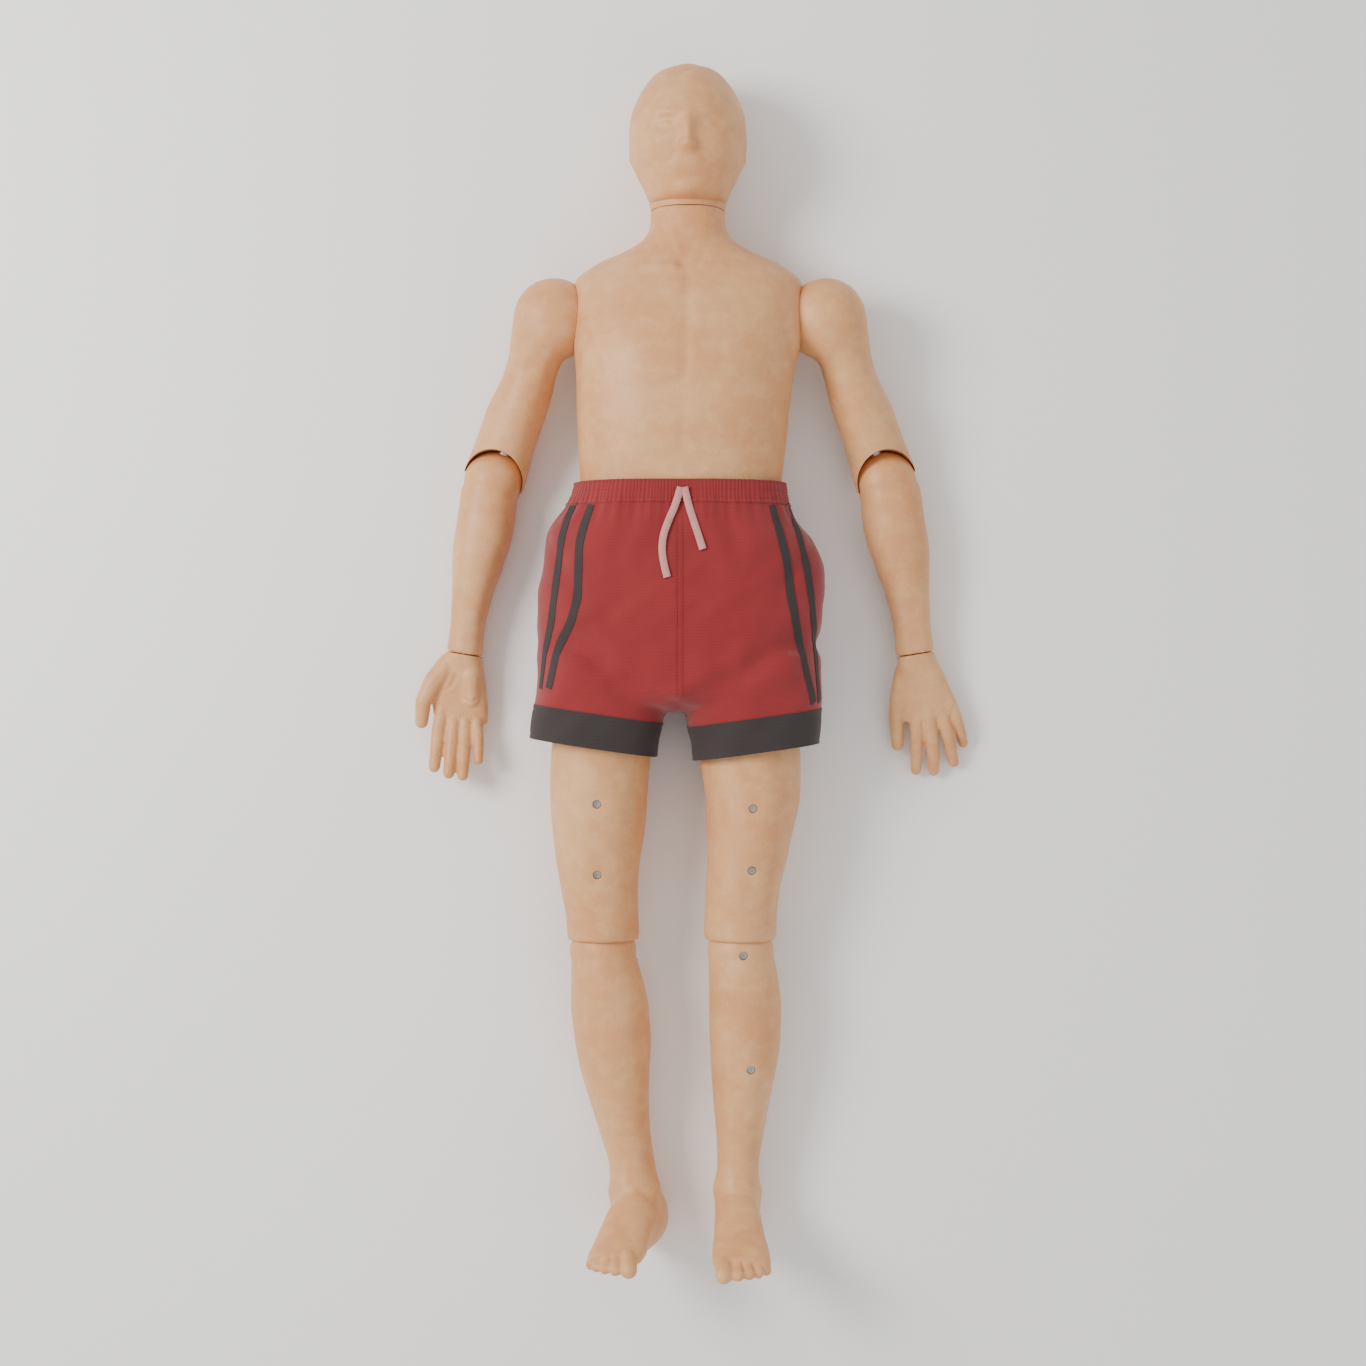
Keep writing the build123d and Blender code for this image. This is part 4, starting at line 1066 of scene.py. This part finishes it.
class MANIKIN_OT_hands(bpy.types.Operator):
    """Hands: the left lies back up with straight fingers, the right palm up with curled ones"""

    bl_idname = "manikin.hands"
    bl_label = "Hands"

    def execute(self, context):
        sizes = context.scene.manikin_sizes
        along, across, up = limb_frame(ELBOW, WRIST)
        for side, sign in SIGN.items():
            # Across is towards the little finger: away from the body on the left hand, and towards
            # it on the right one, which is turned palm up.
            side_dir = across if side == "left" else -across
            fingers = FINGERS if side == "left" else CURLED

            def at(x, distance, height):
                return WRIST + side_dir * x + along * distance + up * height

            rings = [
                ring(at(x, distance, height), side_dir, up, half, half, depth, depth, 0.9, 40)
                for x, distance, height, half, depth in PALM
            ]
            start = ring(at(0, 0.4, 0), side_dir, up, 26.4, 26.4, 25.4, 25.4, 1.0, 40)
            shapes = [loft([start, *rings])]
            for chain in [*fingers.values(), THUMB[side]]:
                shapes += capsule_chain([(*at(x, d, h), radius) for x, d, h, radius in chain], 20)
            if side == "right":
                heel = [(*at(14, 28, 6), 16), (*at(20, 62, 5), 13)]
                shapes += capsule_chain(heel, 20)
            hand = new_object(f"hand_skin_{side}", *[flipped(shape, sign) for shape in shapes])
            fused(hand, sizes.fine_voxel * 0.9, 5)
            mirror = (sign, 1, 1)
            lines = []
            if side == "left":
                for name, chain in fingers.items():
                    x, distance, height, radius = chain[0]
                    knuckle = at(x, distance - 2, height + radius)
                    lines.append(([knuckle * mirror, (knuckle + along * 3) * mirror], 6.0, 1.6))
                    for x, distance, height, radius in chain[1:3]:
                        joint = [at(x + offset, distance, height + radius) * mirror for offset in (-5, 5)]
                        lines.append((joint, 1.8, -0.9))
                    x, distance, height, radius = chain[3]
                    nail = at(x, distance + 1, height + radius)
                    lines.append(([nail * mirror, (nail + along * 4 - up * 2) * mirror], 3.6, -0.9))
            else:
                creases = [[(-24, 70), (-8, 60), (18, 66), (34, 60)], [(-26, 64), (-10, 48), (-4, 26)]]
                for crease in creases:
                    lines.append(([at(x, d, 15) * mirror for x, d in crease], 3.0, -2.2))
                for name, chain in fingers.items():
                    for x, distance, height, radius in chain[:3]:
                        top = height + radius
                        joint = [at(x + offset, distance + 4, top) * mirror for offset in (-5, 5)]
                        lines.append((joint, 1.8, -1.1))
            swells = [] if side == "left" else [(at(3, 56, 14) * mirror, (16, 20, 10), -3.0)]
            sculpt(hand, swells=swells, lines=lines)
            skin_done(hand, f"hand_{side}", f"hand_{side}")
        return {"FINISHED"}


class MANIKIN_OT_legs(bpy.types.Operator):
    """Legs: thigh with its hip ball and knee cup, and lower leg with the foot moulded on"""

    bl_idname = "manikin.legs"
    bl_label = "Legs"

    def execute(self, context):
        sizes = context.scene.manikin_sizes
        for side, sign in SIGN.items():
            hip, knee = HIPS[side], KNEES[side]
            thigh = new_object(
                f"thigh_skin_{side}", body_tube(THIGH[side], 0.97), sphere(hip, BALLS["hip"])
            )
            fused(thigh, sizes.skin_voxel, 4)
            middle = THIGH[side][4][1]
            swells = [
                ((middle + sign * 22, -200, 150), (30, 80, 40), 2.2),
                ((middle - sign * 30, -290, 130), (20, 36, 30), 2.4),
                ((middle + sign * 30, -300, 128), (18, 40, 30), 1.8),
            ]
            sculpt(thigh, swells=swells)
            cut(thigh, sphere(knee, BALLS["knee"] + SEAM_GAP))
            cut(thigh, post(knee, (knee[0], knee[1], -40), 52))
            self.sink_screws(thigh, f"thigh_{side}")
            skin_done(thigh, f"thigh_{side}", f"thigh_shell_{side}")

            rings = []
            for z, x, y, half_x, half_y in smooth_rows(FOOT[side], 6.0):
                rings.append(ring((x, y, z), (1, 0, 0), (0, 1, 0), half_x, half_x, half_y, half_y, 0.95))
            shapes = [body_tube(SHIN[side], 0.98), sphere(knee, BALLS["knee"]), loft(rings)]
            root_y, tip_y = TOE_Y[side]
            for root_x, root_z, tip_x, tip_z, radius in TOES[side]:
                knuckle = ((root_x + tip_x) / 2, (root_y + tip_y) / 2 + 1.5, (root_z + tip_z) / 2, radius)
                shapes += capsule_chain(
                    [(root_x, root_y, root_z, radius * 1.1), knuckle, (tip_x, tip_y, tip_z, radius)], 18
                )
            leg = new_object(f"lower_leg_skin_{side}", *shapes)
            fused(leg, sizes.fine_voxel * 1.15, 5)
            self.shape_leg(leg, side, sign)
            cut(leg, self.knee_opening(knee))
            self.sink_screws(leg, f"lower_leg_{side}")
            skin_done(leg, f"lower_leg_{side}", f"lower_leg_shell_{side}")
        return {"FINISHED"}

    @staticmethod
    def knee_opening(knee):
        """The open back of the knee dome, so that the shin can fold under the thigh."""
        low = (knee[0] - 60, knee[1] - 14, -20)
        high = (knee[0] + 60, knee[1] + 60, knee[2] + 8)
        corners = list(itertools.product(*zip(low, high)))
        faces = [(0, 1, 3, 2), (4, 6, 7, 5), (0, 4, 5, 1), (2, 3, 7, 6), (0, 2, 6, 4), (1, 5, 7, 3)]
        return np.array(corners, float), faces

    @staticmethod
    def sink_screws(obj, name):
        """Round pockets over the screw heads, with softened rims."""
        for x, y, top in SCREWS.get(name, []):
            sculpt(obj, pushes=[((x, y, top + 5), (9, 9, 30), (0, 0, -1.6))])
            cut(obj, post((x, y, top - 2.9), (x, y, top + 40), 6.0, 32))

    @staticmethod
    def shape_leg(leg, side, sign):
        """Kneecap, calf, shin edge, ankle bones, heel, nails and the clefts between toes."""
        knee = KNEES[side]
        ankle_x = SHIN[side][8][1]
        foot_x = FOOT[side][4][1]
        swells = [
            ((knee[0], -402, 122), (26, 24, 20), 2.0),
            ((ankle_x + sign * 34, -728, 60), (12, 15, 14), 4.5),
            ((ankle_x - sign * 34, -722, 66), (12, 15, 14), 4.5),
            ((ankle_x + sign * 20, -700, 40), (12, 30, 16), -3.0),
            ((ankle_x - sign * 20, -700, 40), (12, 30, 16), -3.0),
            ((foot_x - sign * 34, -786, 120), (14, 20, 34), -3.5),
        ]
        lines = []
        toes = TOES[side]
        root_y, tip_y = TOE_Y[side]
        for first, second in zip(toes, toes[1:]):
            root = ((first[0] + second[0]) / 2, root_y + 9, (first[1] + second[1]) / 2 + 4)
            tip = ((first[2] + second[2]) / 2, tip_y + 5, (first[3] + second[3]) / 2)
            lines.append(([root, tip], 2.4, -2.0))
        for _, _, tip_x, tip_z, radius in toes:
            nail = [(tip_x, tip_y + radius * 0.75, tip_z + 1), (tip_x, tip_y + radius * 0.35, tip_z + 5)]
            lines.append((nail, radius * 0.42, -0.9))
        under_kneecap = [(knee[0] - 30, -424, 118), (knee[0], -432, 124), (knee[0] + 30, -424, 118)]
        lines.append((under_kneecap, 7.0, -1.2))
        crease_x = ankle_x + 10
        crease = [(crease_x - 10, -708, 92), (crease_x + 14, -724, 96), (crease_x + 26, -742, 90)]
        lines.append((crease, 6.0, -2.2))
        sculpt(leg, swells=swells, lines=lines)


# ------------------------------------------------------------------ swim shorts
def shorts_surface(points, normals):
    """Loose folds, pulls and side bulges of the cloth, as a shift of its points."""
    x, y, z = points.T
    shift = np.zeros_like(points)
    for side, sign in SIGN.items():
        hip_x = SHORTS_LEG[side][1][1]
        edge = sign * 185 + CENTRE_SEAM_X
        seam = CENTRE_SEAM_X
        folds = [
            ([(edge, 60, 120), (edge - sign * 40, 40, 180), (hip_x, 18, 195)], 13.0, -4.0),
            ([(edge, 96, 130), (edge - sign * 34, 84, 176), (hip_x + sign * 8, 78, 196)], 12.0, 3.0),
            ([(edge, 24, 110), (edge - sign * 36, 6, 176), (hip_x, -10, 190)], 13.0, 3.0),
            ([(edge, -14, 110), (edge - sign * 44, -24, 170), (hip_x + sign * 12, -34, 182)], 11.0, -2.4),
            ([(seam, -34, 168), (hip_x - sign * 20, -4, 190), (hip_x + sign * 20, 30, 195)], 12.0, -3.0),
            ([(seam, -20, 184), (hip_x - sign * 28, 24, 195), (hip_x + sign * 4, 62, 197)], 12.0, 2.2),
            ([(seam + sign * 40, 225, 190), (seam + sign * 60, 150, 197)], 14.0, 2.0),
            ([(seam + sign * 64, 228, 190), (seam + sign * 86, 160, 195)], 12.0, -1.8),
            ([(edge, 190, 130), (edge - sign * 20, 150, 175), (edge - sign * 46, 110, 192)], 12.0, -3.0),
            ([(edge, 230, 30), (edge - sign * 10, 150, 20), (edge, 40, 20)], 22.0, -3.0),
        ]
        for line, width, amount in folds:
            shift += normals * (line_near(points, line, width) * amount)[:, None]
    gathers = np.exp(-(((y - 226) / 16) ** 2)) * np.sin(np.arctan2(z - 95, x - CENTRE_SEAM_X) * 52)
    shift += normals * (gathers * 1.0)[:, None]
    shift += normals * (np.sin(x * 0.045 + y * 0.021) * np.sin(y * 0.052 - x * 0.017) * 1.6)[:, None]
    creases = np.sin(x * 0.11 - y * 0.07 + 2.0 * np.sin(y * 0.03)) * np.sin(y * 0.043 + 1.0)
    shift += normals * (creases * 0.7)[:, None]
    return shift


def trim(obj, origin, direction):
    """Cut a mesh by a plane and drop what lies beyond it along a direction."""
    edited = bmesh.new()
    edited.from_mesh(obj.data)
    where = (np.array(origin, float) - (0, PLAN_MIDDLE, 0)) * MM
    bmesh.ops.bisect_plane(
        edited,
        geom=[*edited.verts, *edited.edges, *edited.faces],
        plane_co=where,
        plane_no=direction,
        clear_outer=True,
    )
    edited.to_mesh(obj.data)
    edited.free()
    return obj


def copy_of(obj, name):
    """A separate object with its own copy of a mesh."""
    made = bpy.data.objects.new(name, obj.data.copy())
    bpy.context.scene.collection.objects.link(made)
    return made


def thickened(obj, thickness, offset=-1.0):
    """Give a cloth its thickness, with the shown side where it was."""
    solid = obj.modifiers.new("thickness", "SOLIDIFY")
    solid.thickness = thickness * MM
    solid.offset = offset
    return apply_modifiers(obj)


def raised(obj, amount):
    """Move a cloth out along its normals."""
    points, normals = read(obj)
    put_back(obj, points + normals * amount)
    return obj


def bend_with_leg(obj):
    """Bake a cloth piece's placement into its mesh."""
    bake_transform(obj)


class MANIKIN_OT_shorts(bpy.types.Operator):
    """Swim shorts: two halves sewn at the centre, waistband, hem bands, side stripes and stitching"""

    bl_idname = "manikin.shorts"
    bl_label = "Swim shorts"

    def execute(self, context):
        sizes = context.scene.manikin_sizes
        whole = new_object(
            "shorts_pattern",
            body_tube(SEAT, 0.72),
            body_tube(SHORTS_LEG["left"], 0.72),
            body_tube(SHORTS_LEG["right"], 0.72),
        )
        fused(whole, sizes.cloth_voxel, 10)
        points, normals = read(whole)
        put_back(whole, points + shorts_surface(points, normals))
        lay_on_floor(whole)
        seam = self.waistband(whole)
        for side, sign in SIGN.items():
            half = copy_of(whole, f"shorts_{side}")
            trim(half, (0, seam, 0), (0, 1, 0))
            trim(half, (CENTRE_SEAM_X, 0, 0), (-sign, 0, 0))
            hem = self.hem_band(half, side)
            middle, slope = HEM_TOP[side]
            centre = SHORTS_LEG[side][2][1]
            trim(half, (centre, middle, 0), Vector((slope, -1, 0)).normalized())
            surface = BVHTree.FromObject(half, bpy.context.evaluated_depsgraph_get())
            stripes = [self.stripe(surface, side, which) for which in ("inner", "outer")]
            stitching = self.stitching(surface, side)
            thickened(half, CLOTH_THICKNESS)
            lay_on_floor(half)
            smooth_shaded(half, 60)
            finish(half, "red_cloth")
            nodes = [f"shorts_leg_{side}"] + (["shorts_seat"] if side == "left" else [])
            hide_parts(*nodes)
            for piece in (half, hem, *stripes, stitching):
                bend_with_leg(piece)
        bpy.data.objects.remove(whole)
        return {"FINISHED"}

    @staticmethod
    def waistband(whole):
        """Elastic waistband, gathered in fine upright puckers; gives where the shorts start."""
        seam = WAIST_TOP - WAISTBAND_HEIGHT
        band = copy_of(whole, "waistband_cloth")
        trim(band, (0, WAIST_TOP, 0), (0, 1, 0))
        trim(band, (0, seam - 1.0, 0), (0, -1, 0))
        for _ in range(2):
            refine = band.modifiers.new("refine", "SUBSURF")
            refine.subdivision_type = "SIMPLE"
            refine.levels = 1
            apply_modifiers(band)
        points, normals = read(band)
        around = np.arctan2(points[:, 2] - 95, points[:, 0] + 13)
        inside = (points[:, 1] - seam) / WAISTBAND_HEIGHT
        rows = np.exp(-(((inside - 0.12) / 0.05) ** 2)) + np.exp(-(((inside - 0.88) / 0.05) ** 2))
        rows += np.exp(-(((inside - 0.5) / 0.04) ** 2)) * 0.7
        puckers = np.sin(around * 150 + 1.4 * np.sin(around * 23)) * 0.45
        put_back(band, points + normals * (1.6 + puckers - rows * 0.8)[:, None])
        thickened(band, 2.2)
        lay_on_floor(band)
        smooth_shaded(band, 60)
        finish(band, "red_cloth")
        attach(band, "torso")
        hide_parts("waistband")
        return seam

    @staticmethod
    def hem_band(half, side):
        """Dark band sewn round the leg opening, a little proud of the red cloth."""
        middle, slope = HEM_TOP[side]
        centre = SHORTS_LEG[side][2][1]
        down = Vector((slope, -1, 0)).normalized()
        band = copy_of(half, f"hem_band_cloth_{side}")
        trim(band, (centre, middle + 2.0, 0), -down)
        trim(band, (centre, middle - HEM_HEIGHT, 0), down)
        points, _ = read(band)
        drop = middle + slope * (points[:, 0] - centre) - points[:, 1]
        raised(band, 1.1)
        points, normals = read(band)
        stitched = np.exp(-(((drop - 5) / 1.8) ** 2)) + np.exp(-(((drop - HEM_HEIGHT + 6) / 1.8) ** 2))
        put_back(band, points - normals * (stitched * 0.6)[:, None])
        thickened(band, 2.4)
        lay_on_floor(band)
        smooth_shaded(band, 60)
        finish(band, "dark_band")
        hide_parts(f"hem_band_{side}")
        return band

    @staticmethod
    def drop_on(surface, x, y):
        """Where a plumb line at x, y meets the cloth, or its side beyond the edge, and its normal."""
        where = Vector((x * MM, (y - PLAN_MIDDLE) * MM, 0.4))
        hit, normal, _, _ = surface.ray_cast(where, Vector((0, 0, -1)))
        if hit is None or normal.z < 0.05:
            hit, normal, _, _ = surface.find_nearest(Vector((where.x, where.y, 0.125)))
        if normal.z < -0.3:
            normal = -normal
        return np.array(hit), np.array(normal)

    def strip(self, name, surface, line, width, lift, thickness, steps=110):
        """A narrow band laid on the cloth along a line seen from the front."""
        line = np.array(line, float)
        lengths = np.concatenate([[0], np.cumsum(np.linalg.norm(np.diff(line, axis=0), axis=1))])
        places = np.linspace(0, lengths[-1], steps)
        middle = np.stack([np.interp(places, lengths, line[:, axis]) for axis in range(2)], 1)
        kernel = np.ones(9) / 9
        padded = np.vstack([middle[:1]] * 4 + [middle] + [middle[-1:]] * 4)
        middle = np.stack([np.convolve(padded[:, axis], kernel, "valid") for axis in range(2)], 1)
        hits = [self.drop_on(surface, x, y) for x, y in middle]
        points = np.array([hit for hit, _ in hits])
        normals = np.array([normal for _, normal in hits])
        for _ in range(6):
            points[1:-1] = (points[:-2] + points[1:-1] * 2 + points[2:]) / 4
            normals[1:-1] = (normals[:-2] + normals[1:-1] * 2 + normals[2:]) / 4
        tangents = np.gradient(points, axis=0)
        sideways = np.cross(tangents, normals)
        reach = np.linalg.norm(sideways, axis=1)
        sound = np.flatnonzero(reach > 1e-7)
        nearest = sound[np.abs(sound[None, :] - np.arange(steps)[:, None]).argmin(1)]
        sideways = sideways[nearest] / reach[nearest][:, None]
        rows = []
        for point, normal, side in zip(points, normals, sideways):
            row = []
            for share in (-1, -0.6, 0, 0.6, 1):
                target = point + side * share * width * MM / 2
                hit, hit_normal, _, _ = surface.find_nearest(Vector(target))
                hit_normal = hit_normal if hit_normal.dot(Vector(normal)) > 0 else -hit_normal
                row.append(np.array(hit + hit_normal * (lift + thickness) * MM))
            rows.append(row)
        rows = np.array(rows)
        for _ in range(2):
            rows[1:-1] = (rows[:-2] + rows[1:-1] * 2 + rows[2:]) / 4
        faces = []
        for row in range(len(rows) - 1):
            for column in range(4):
                a = row * 5 + column
                faces.append((a, a + 1, a + 6, a + 5))
        mesh = bpy.data.meshes.new(name)
        mesh.from_pydata(rows.reshape(-1, 3).tolist(), [], faces)
        obj = bpy.data.objects.new(name, mesh)
        bpy.context.scene.collection.objects.link(obj)
        if np.array(mesh.polygons[len(mesh.polygons) // 2].normal) @ normals[len(normals) // 2] < 0:
            mesh.flip_normals()
        return thickened(obj, thickness + lift)

    def stripe(self, surface, side, which):
        """A dark stripe sewn down the side."""
        name = f"stripe_{which}_{side}"
        stripe = self.strip(name, surface, STRIPES[f"{side}_{which}"], STRIPE_WIDTH, 0.3, 0.7)
        lay_on_floor(stripe)
        smooth_shaded(stripe, 60)
        return finish(stripe, "dark_band")

    def stitching(self, surface, side):
        """Raised thread along the centre seam."""
        seam_x = CENTRE_SEAM_X + SIGN[side] * 4
        line = [(seam_x, 228), (seam_x, 90), (seam_x, -30)]
        seam = self.strip(f"seam_stitching_{side}", surface, line, 1.6, 0.2, 0.5, 90)
        smooth_shaded(seam, 60)
        return finish(seam, "red_cloth")


class MANIKIN_OT_drawstring(bpy.types.Operator):
    """Drawstring: two free tails of flat tape that come out at the front of the waistband"""

    bl_idname = "manikin.drawstring"
    bl_label = "Drawstring"

    def execute(self, context):
        width = context.scene.manikin_sizes.tape_width
        profile = bpy.data.curves.new("tape_profile", "CURVE")
        profile.dimensions = "2D"
        outline = profile.splines.new("POLY")
        corners = [(0.5, 0.06), (0.44, 0.13), (0, 0.15), (-0.44, 0.13), (-0.5, 0.06)]
        corners += [(x, -y) for x, y in reversed(corners)]
        outline.points.add(len(corners) - 1)
        for point, (x, y) in zip(outline.points, corners):
            point.co = (x * width, y * width, 0, 1)
        outline.use_cyclic_u = True
        profile_object = bpy.data.objects.new("tape_profile", profile)
        for side, route in DRAWSTRING.items():
            curve = bpy.data.curves.new(f"drawstring_tape_{side}", "CURVE")
            curve.dimensions = "3D"
            curve.twist_mode = "Z_UP"
            spline = curve.splines.new("NURBS")
            spline.points.add(len(route) - 1)
            for point, (x, y, z) in zip(spline.points, route):
                point.co = (x * MM, (y - PLAN_MIDDLE) * MM, z * MM, 1)
            spline.order_u = 3
            spline.use_endpoint_u = True
            curve.resolution_u = 16
            curve.bevel_mode = "OBJECT"
            curve.bevel_object = profile_object
            curve.use_fill_caps = True
            tape = bpy.data.objects.new(f"drawstring_tape_{side}", curve)
            bpy.context.scene.collection.objects.link(tape)
            finish(tape, "drawstring")
            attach(tape, "torso")
            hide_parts(f"drawstring_{side}")
            x, y, z = route[0]
        return {"FINISHED"}


class MANIKIN_OT_steel(bpy.types.Operator):
    """Steel: finishes for the frame's bars, axles, pins and screws"""

    bl_idname = "manikin.steel"
    bl_label = "Steel frame"

    def execute(self, context):
        slots = {part["node"]: part["material_slot"] for part in frame["record"]["subparts"]}
        for name, node in frame["nodes"].items():
            if slots.get(name) in ("steel", "axle_steel", "screw_steel"):
                smooth_shaded(node, 30)
                finish(node, slots[name])
        return {"FINISHED"}


class MANIKIN_OT_stage(bpy.types.Operator):
    """Stage: pale floor, soft light from the manikin's right and a camera straight above"""

    bl_idname = "manikin.stage"
    bl_label = "Stage"

    def execute(self, context):
        sizes = context.scene.manikin_sizes
        camera_data = bpy.data.cameras.new("camera")
        camera_data.lens = 56.5
        camera_data.sensor_width = 36.0
        camera = bpy.data.objects.new("camera", camera_data)
        camera.location = (-0.0098, -0.0288, sizes.camera_height)
        context.scene.collection.objects.link(camera)
        context.scene.camera = camera

        reach = 9.0
        floor_mesh = bpy.data.meshes.new("floor")
        corners = [(-reach, -reach, 0), (reach, -reach, 0), (reach, reach, 0), (-reach, reach, 0)]
        floor_mesh.from_pydata(corners, [], [(0, 1, 2, 3)])
        floor = bpy.data.objects.new("floor", floor_mesh)
        context.scene.collection.objects.link(floor)
        finish(floor, "floor")

        world = bpy.data.worlds.new("studio")
        world.use_nodes = True
        background = world.node_tree.nodes["Background"]
        background.inputs["Color"].default_value = (1.0, 0.985, 0.97, 1.0)
        background.inputs["Strength"].default_value = 0.85
        context.scene.world = world
        lamps = [
            ("key", (-2.6, 0.9, 2.6), 1.6, 130.0, (1.0, 0.97, 0.93)),
            ("fill", (1.8, -2.2, 2.8), 2.6, 14.0, (1.0, 0.96, 0.94)),
        ]
        for name, place, size, power, colour in lamps:
            lamp_data = bpy.data.lights.new(name, "AREA")
            lamp_data.shape = "DISK"
            lamp_data.size = size
            lamp_data.energy = power
            lamp_data.color = colour
            lamp = bpy.data.objects.new(name, lamp_data)
            lamp.location = place
            lamp.rotation_mode = "QUATERNION"
            aim = Vector((0, 0, 0.1)) - Vector(place)
            lamp.rotation_quaternion = aim.to_track_quat("-Z", "Y")
            context.scene.collection.objects.link(lamp)
        return {"FINISHED"}


class MANIKIN_PT_panel(bpy.types.Panel):
    """Lists the manikin's pieces, sizes and colours"""

    bl_idname = "MANIKIN_PT_panel"
    bl_label = "Jointed Rescue Manikin"
    bl_space_type = "VIEW_3D"
    bl_region_type = "UI"
    bl_category = "Manikin"

    def draw(self, context):
        layout = self.layout
        for operator in OPERATORS:
            layout.operator(operator.bl_idname)
        for group in (context.scene.manikin_sizes, context.scene.manikin_colours):
            for name in group.__annotations__:
                layout.prop(group, name)


OPERATORS = (
    MANIKIN_OT_stage,
    MANIKIN_OT_drawstring,
    MANIKIN_OT_head,
    MANIKIN_OT_torso,
    MANIKIN_OT_arms,
    MANIKIN_OT_hands,
    MANIKIN_OT_legs,
    MANIKIN_OT_shorts,
    MANIKIN_OT_steel,
)
CLASSES = (ManikinSizes, ManikinColours, *OPERATORS, MANIKIN_PT_panel)


def register():
    for cls in CLASSES:
        bpy.utils.register_class(cls)
    bpy.types.Scene.manikin_sizes = bpy.props.PointerProperty(type=ManikinSizes)
    bpy.types.Scene.manikin_colours = bpy.props.PointerProperty(type=ManikinColours)


def unregister():
    del bpy.types.Scene.manikin_colours
    del bpy.types.Scene.manikin_sizes
    for cls in reversed(CLASSES):
        bpy.utils.unregister_class(cls)


def main():
    """Build every piece in order."""
    register()
    for operator in OPERATORS:
        group, name = operator.bl_idname.split(".")
        getattr(getattr(bpy.ops, group), name)()


if __name__ == "__main__":
    main()
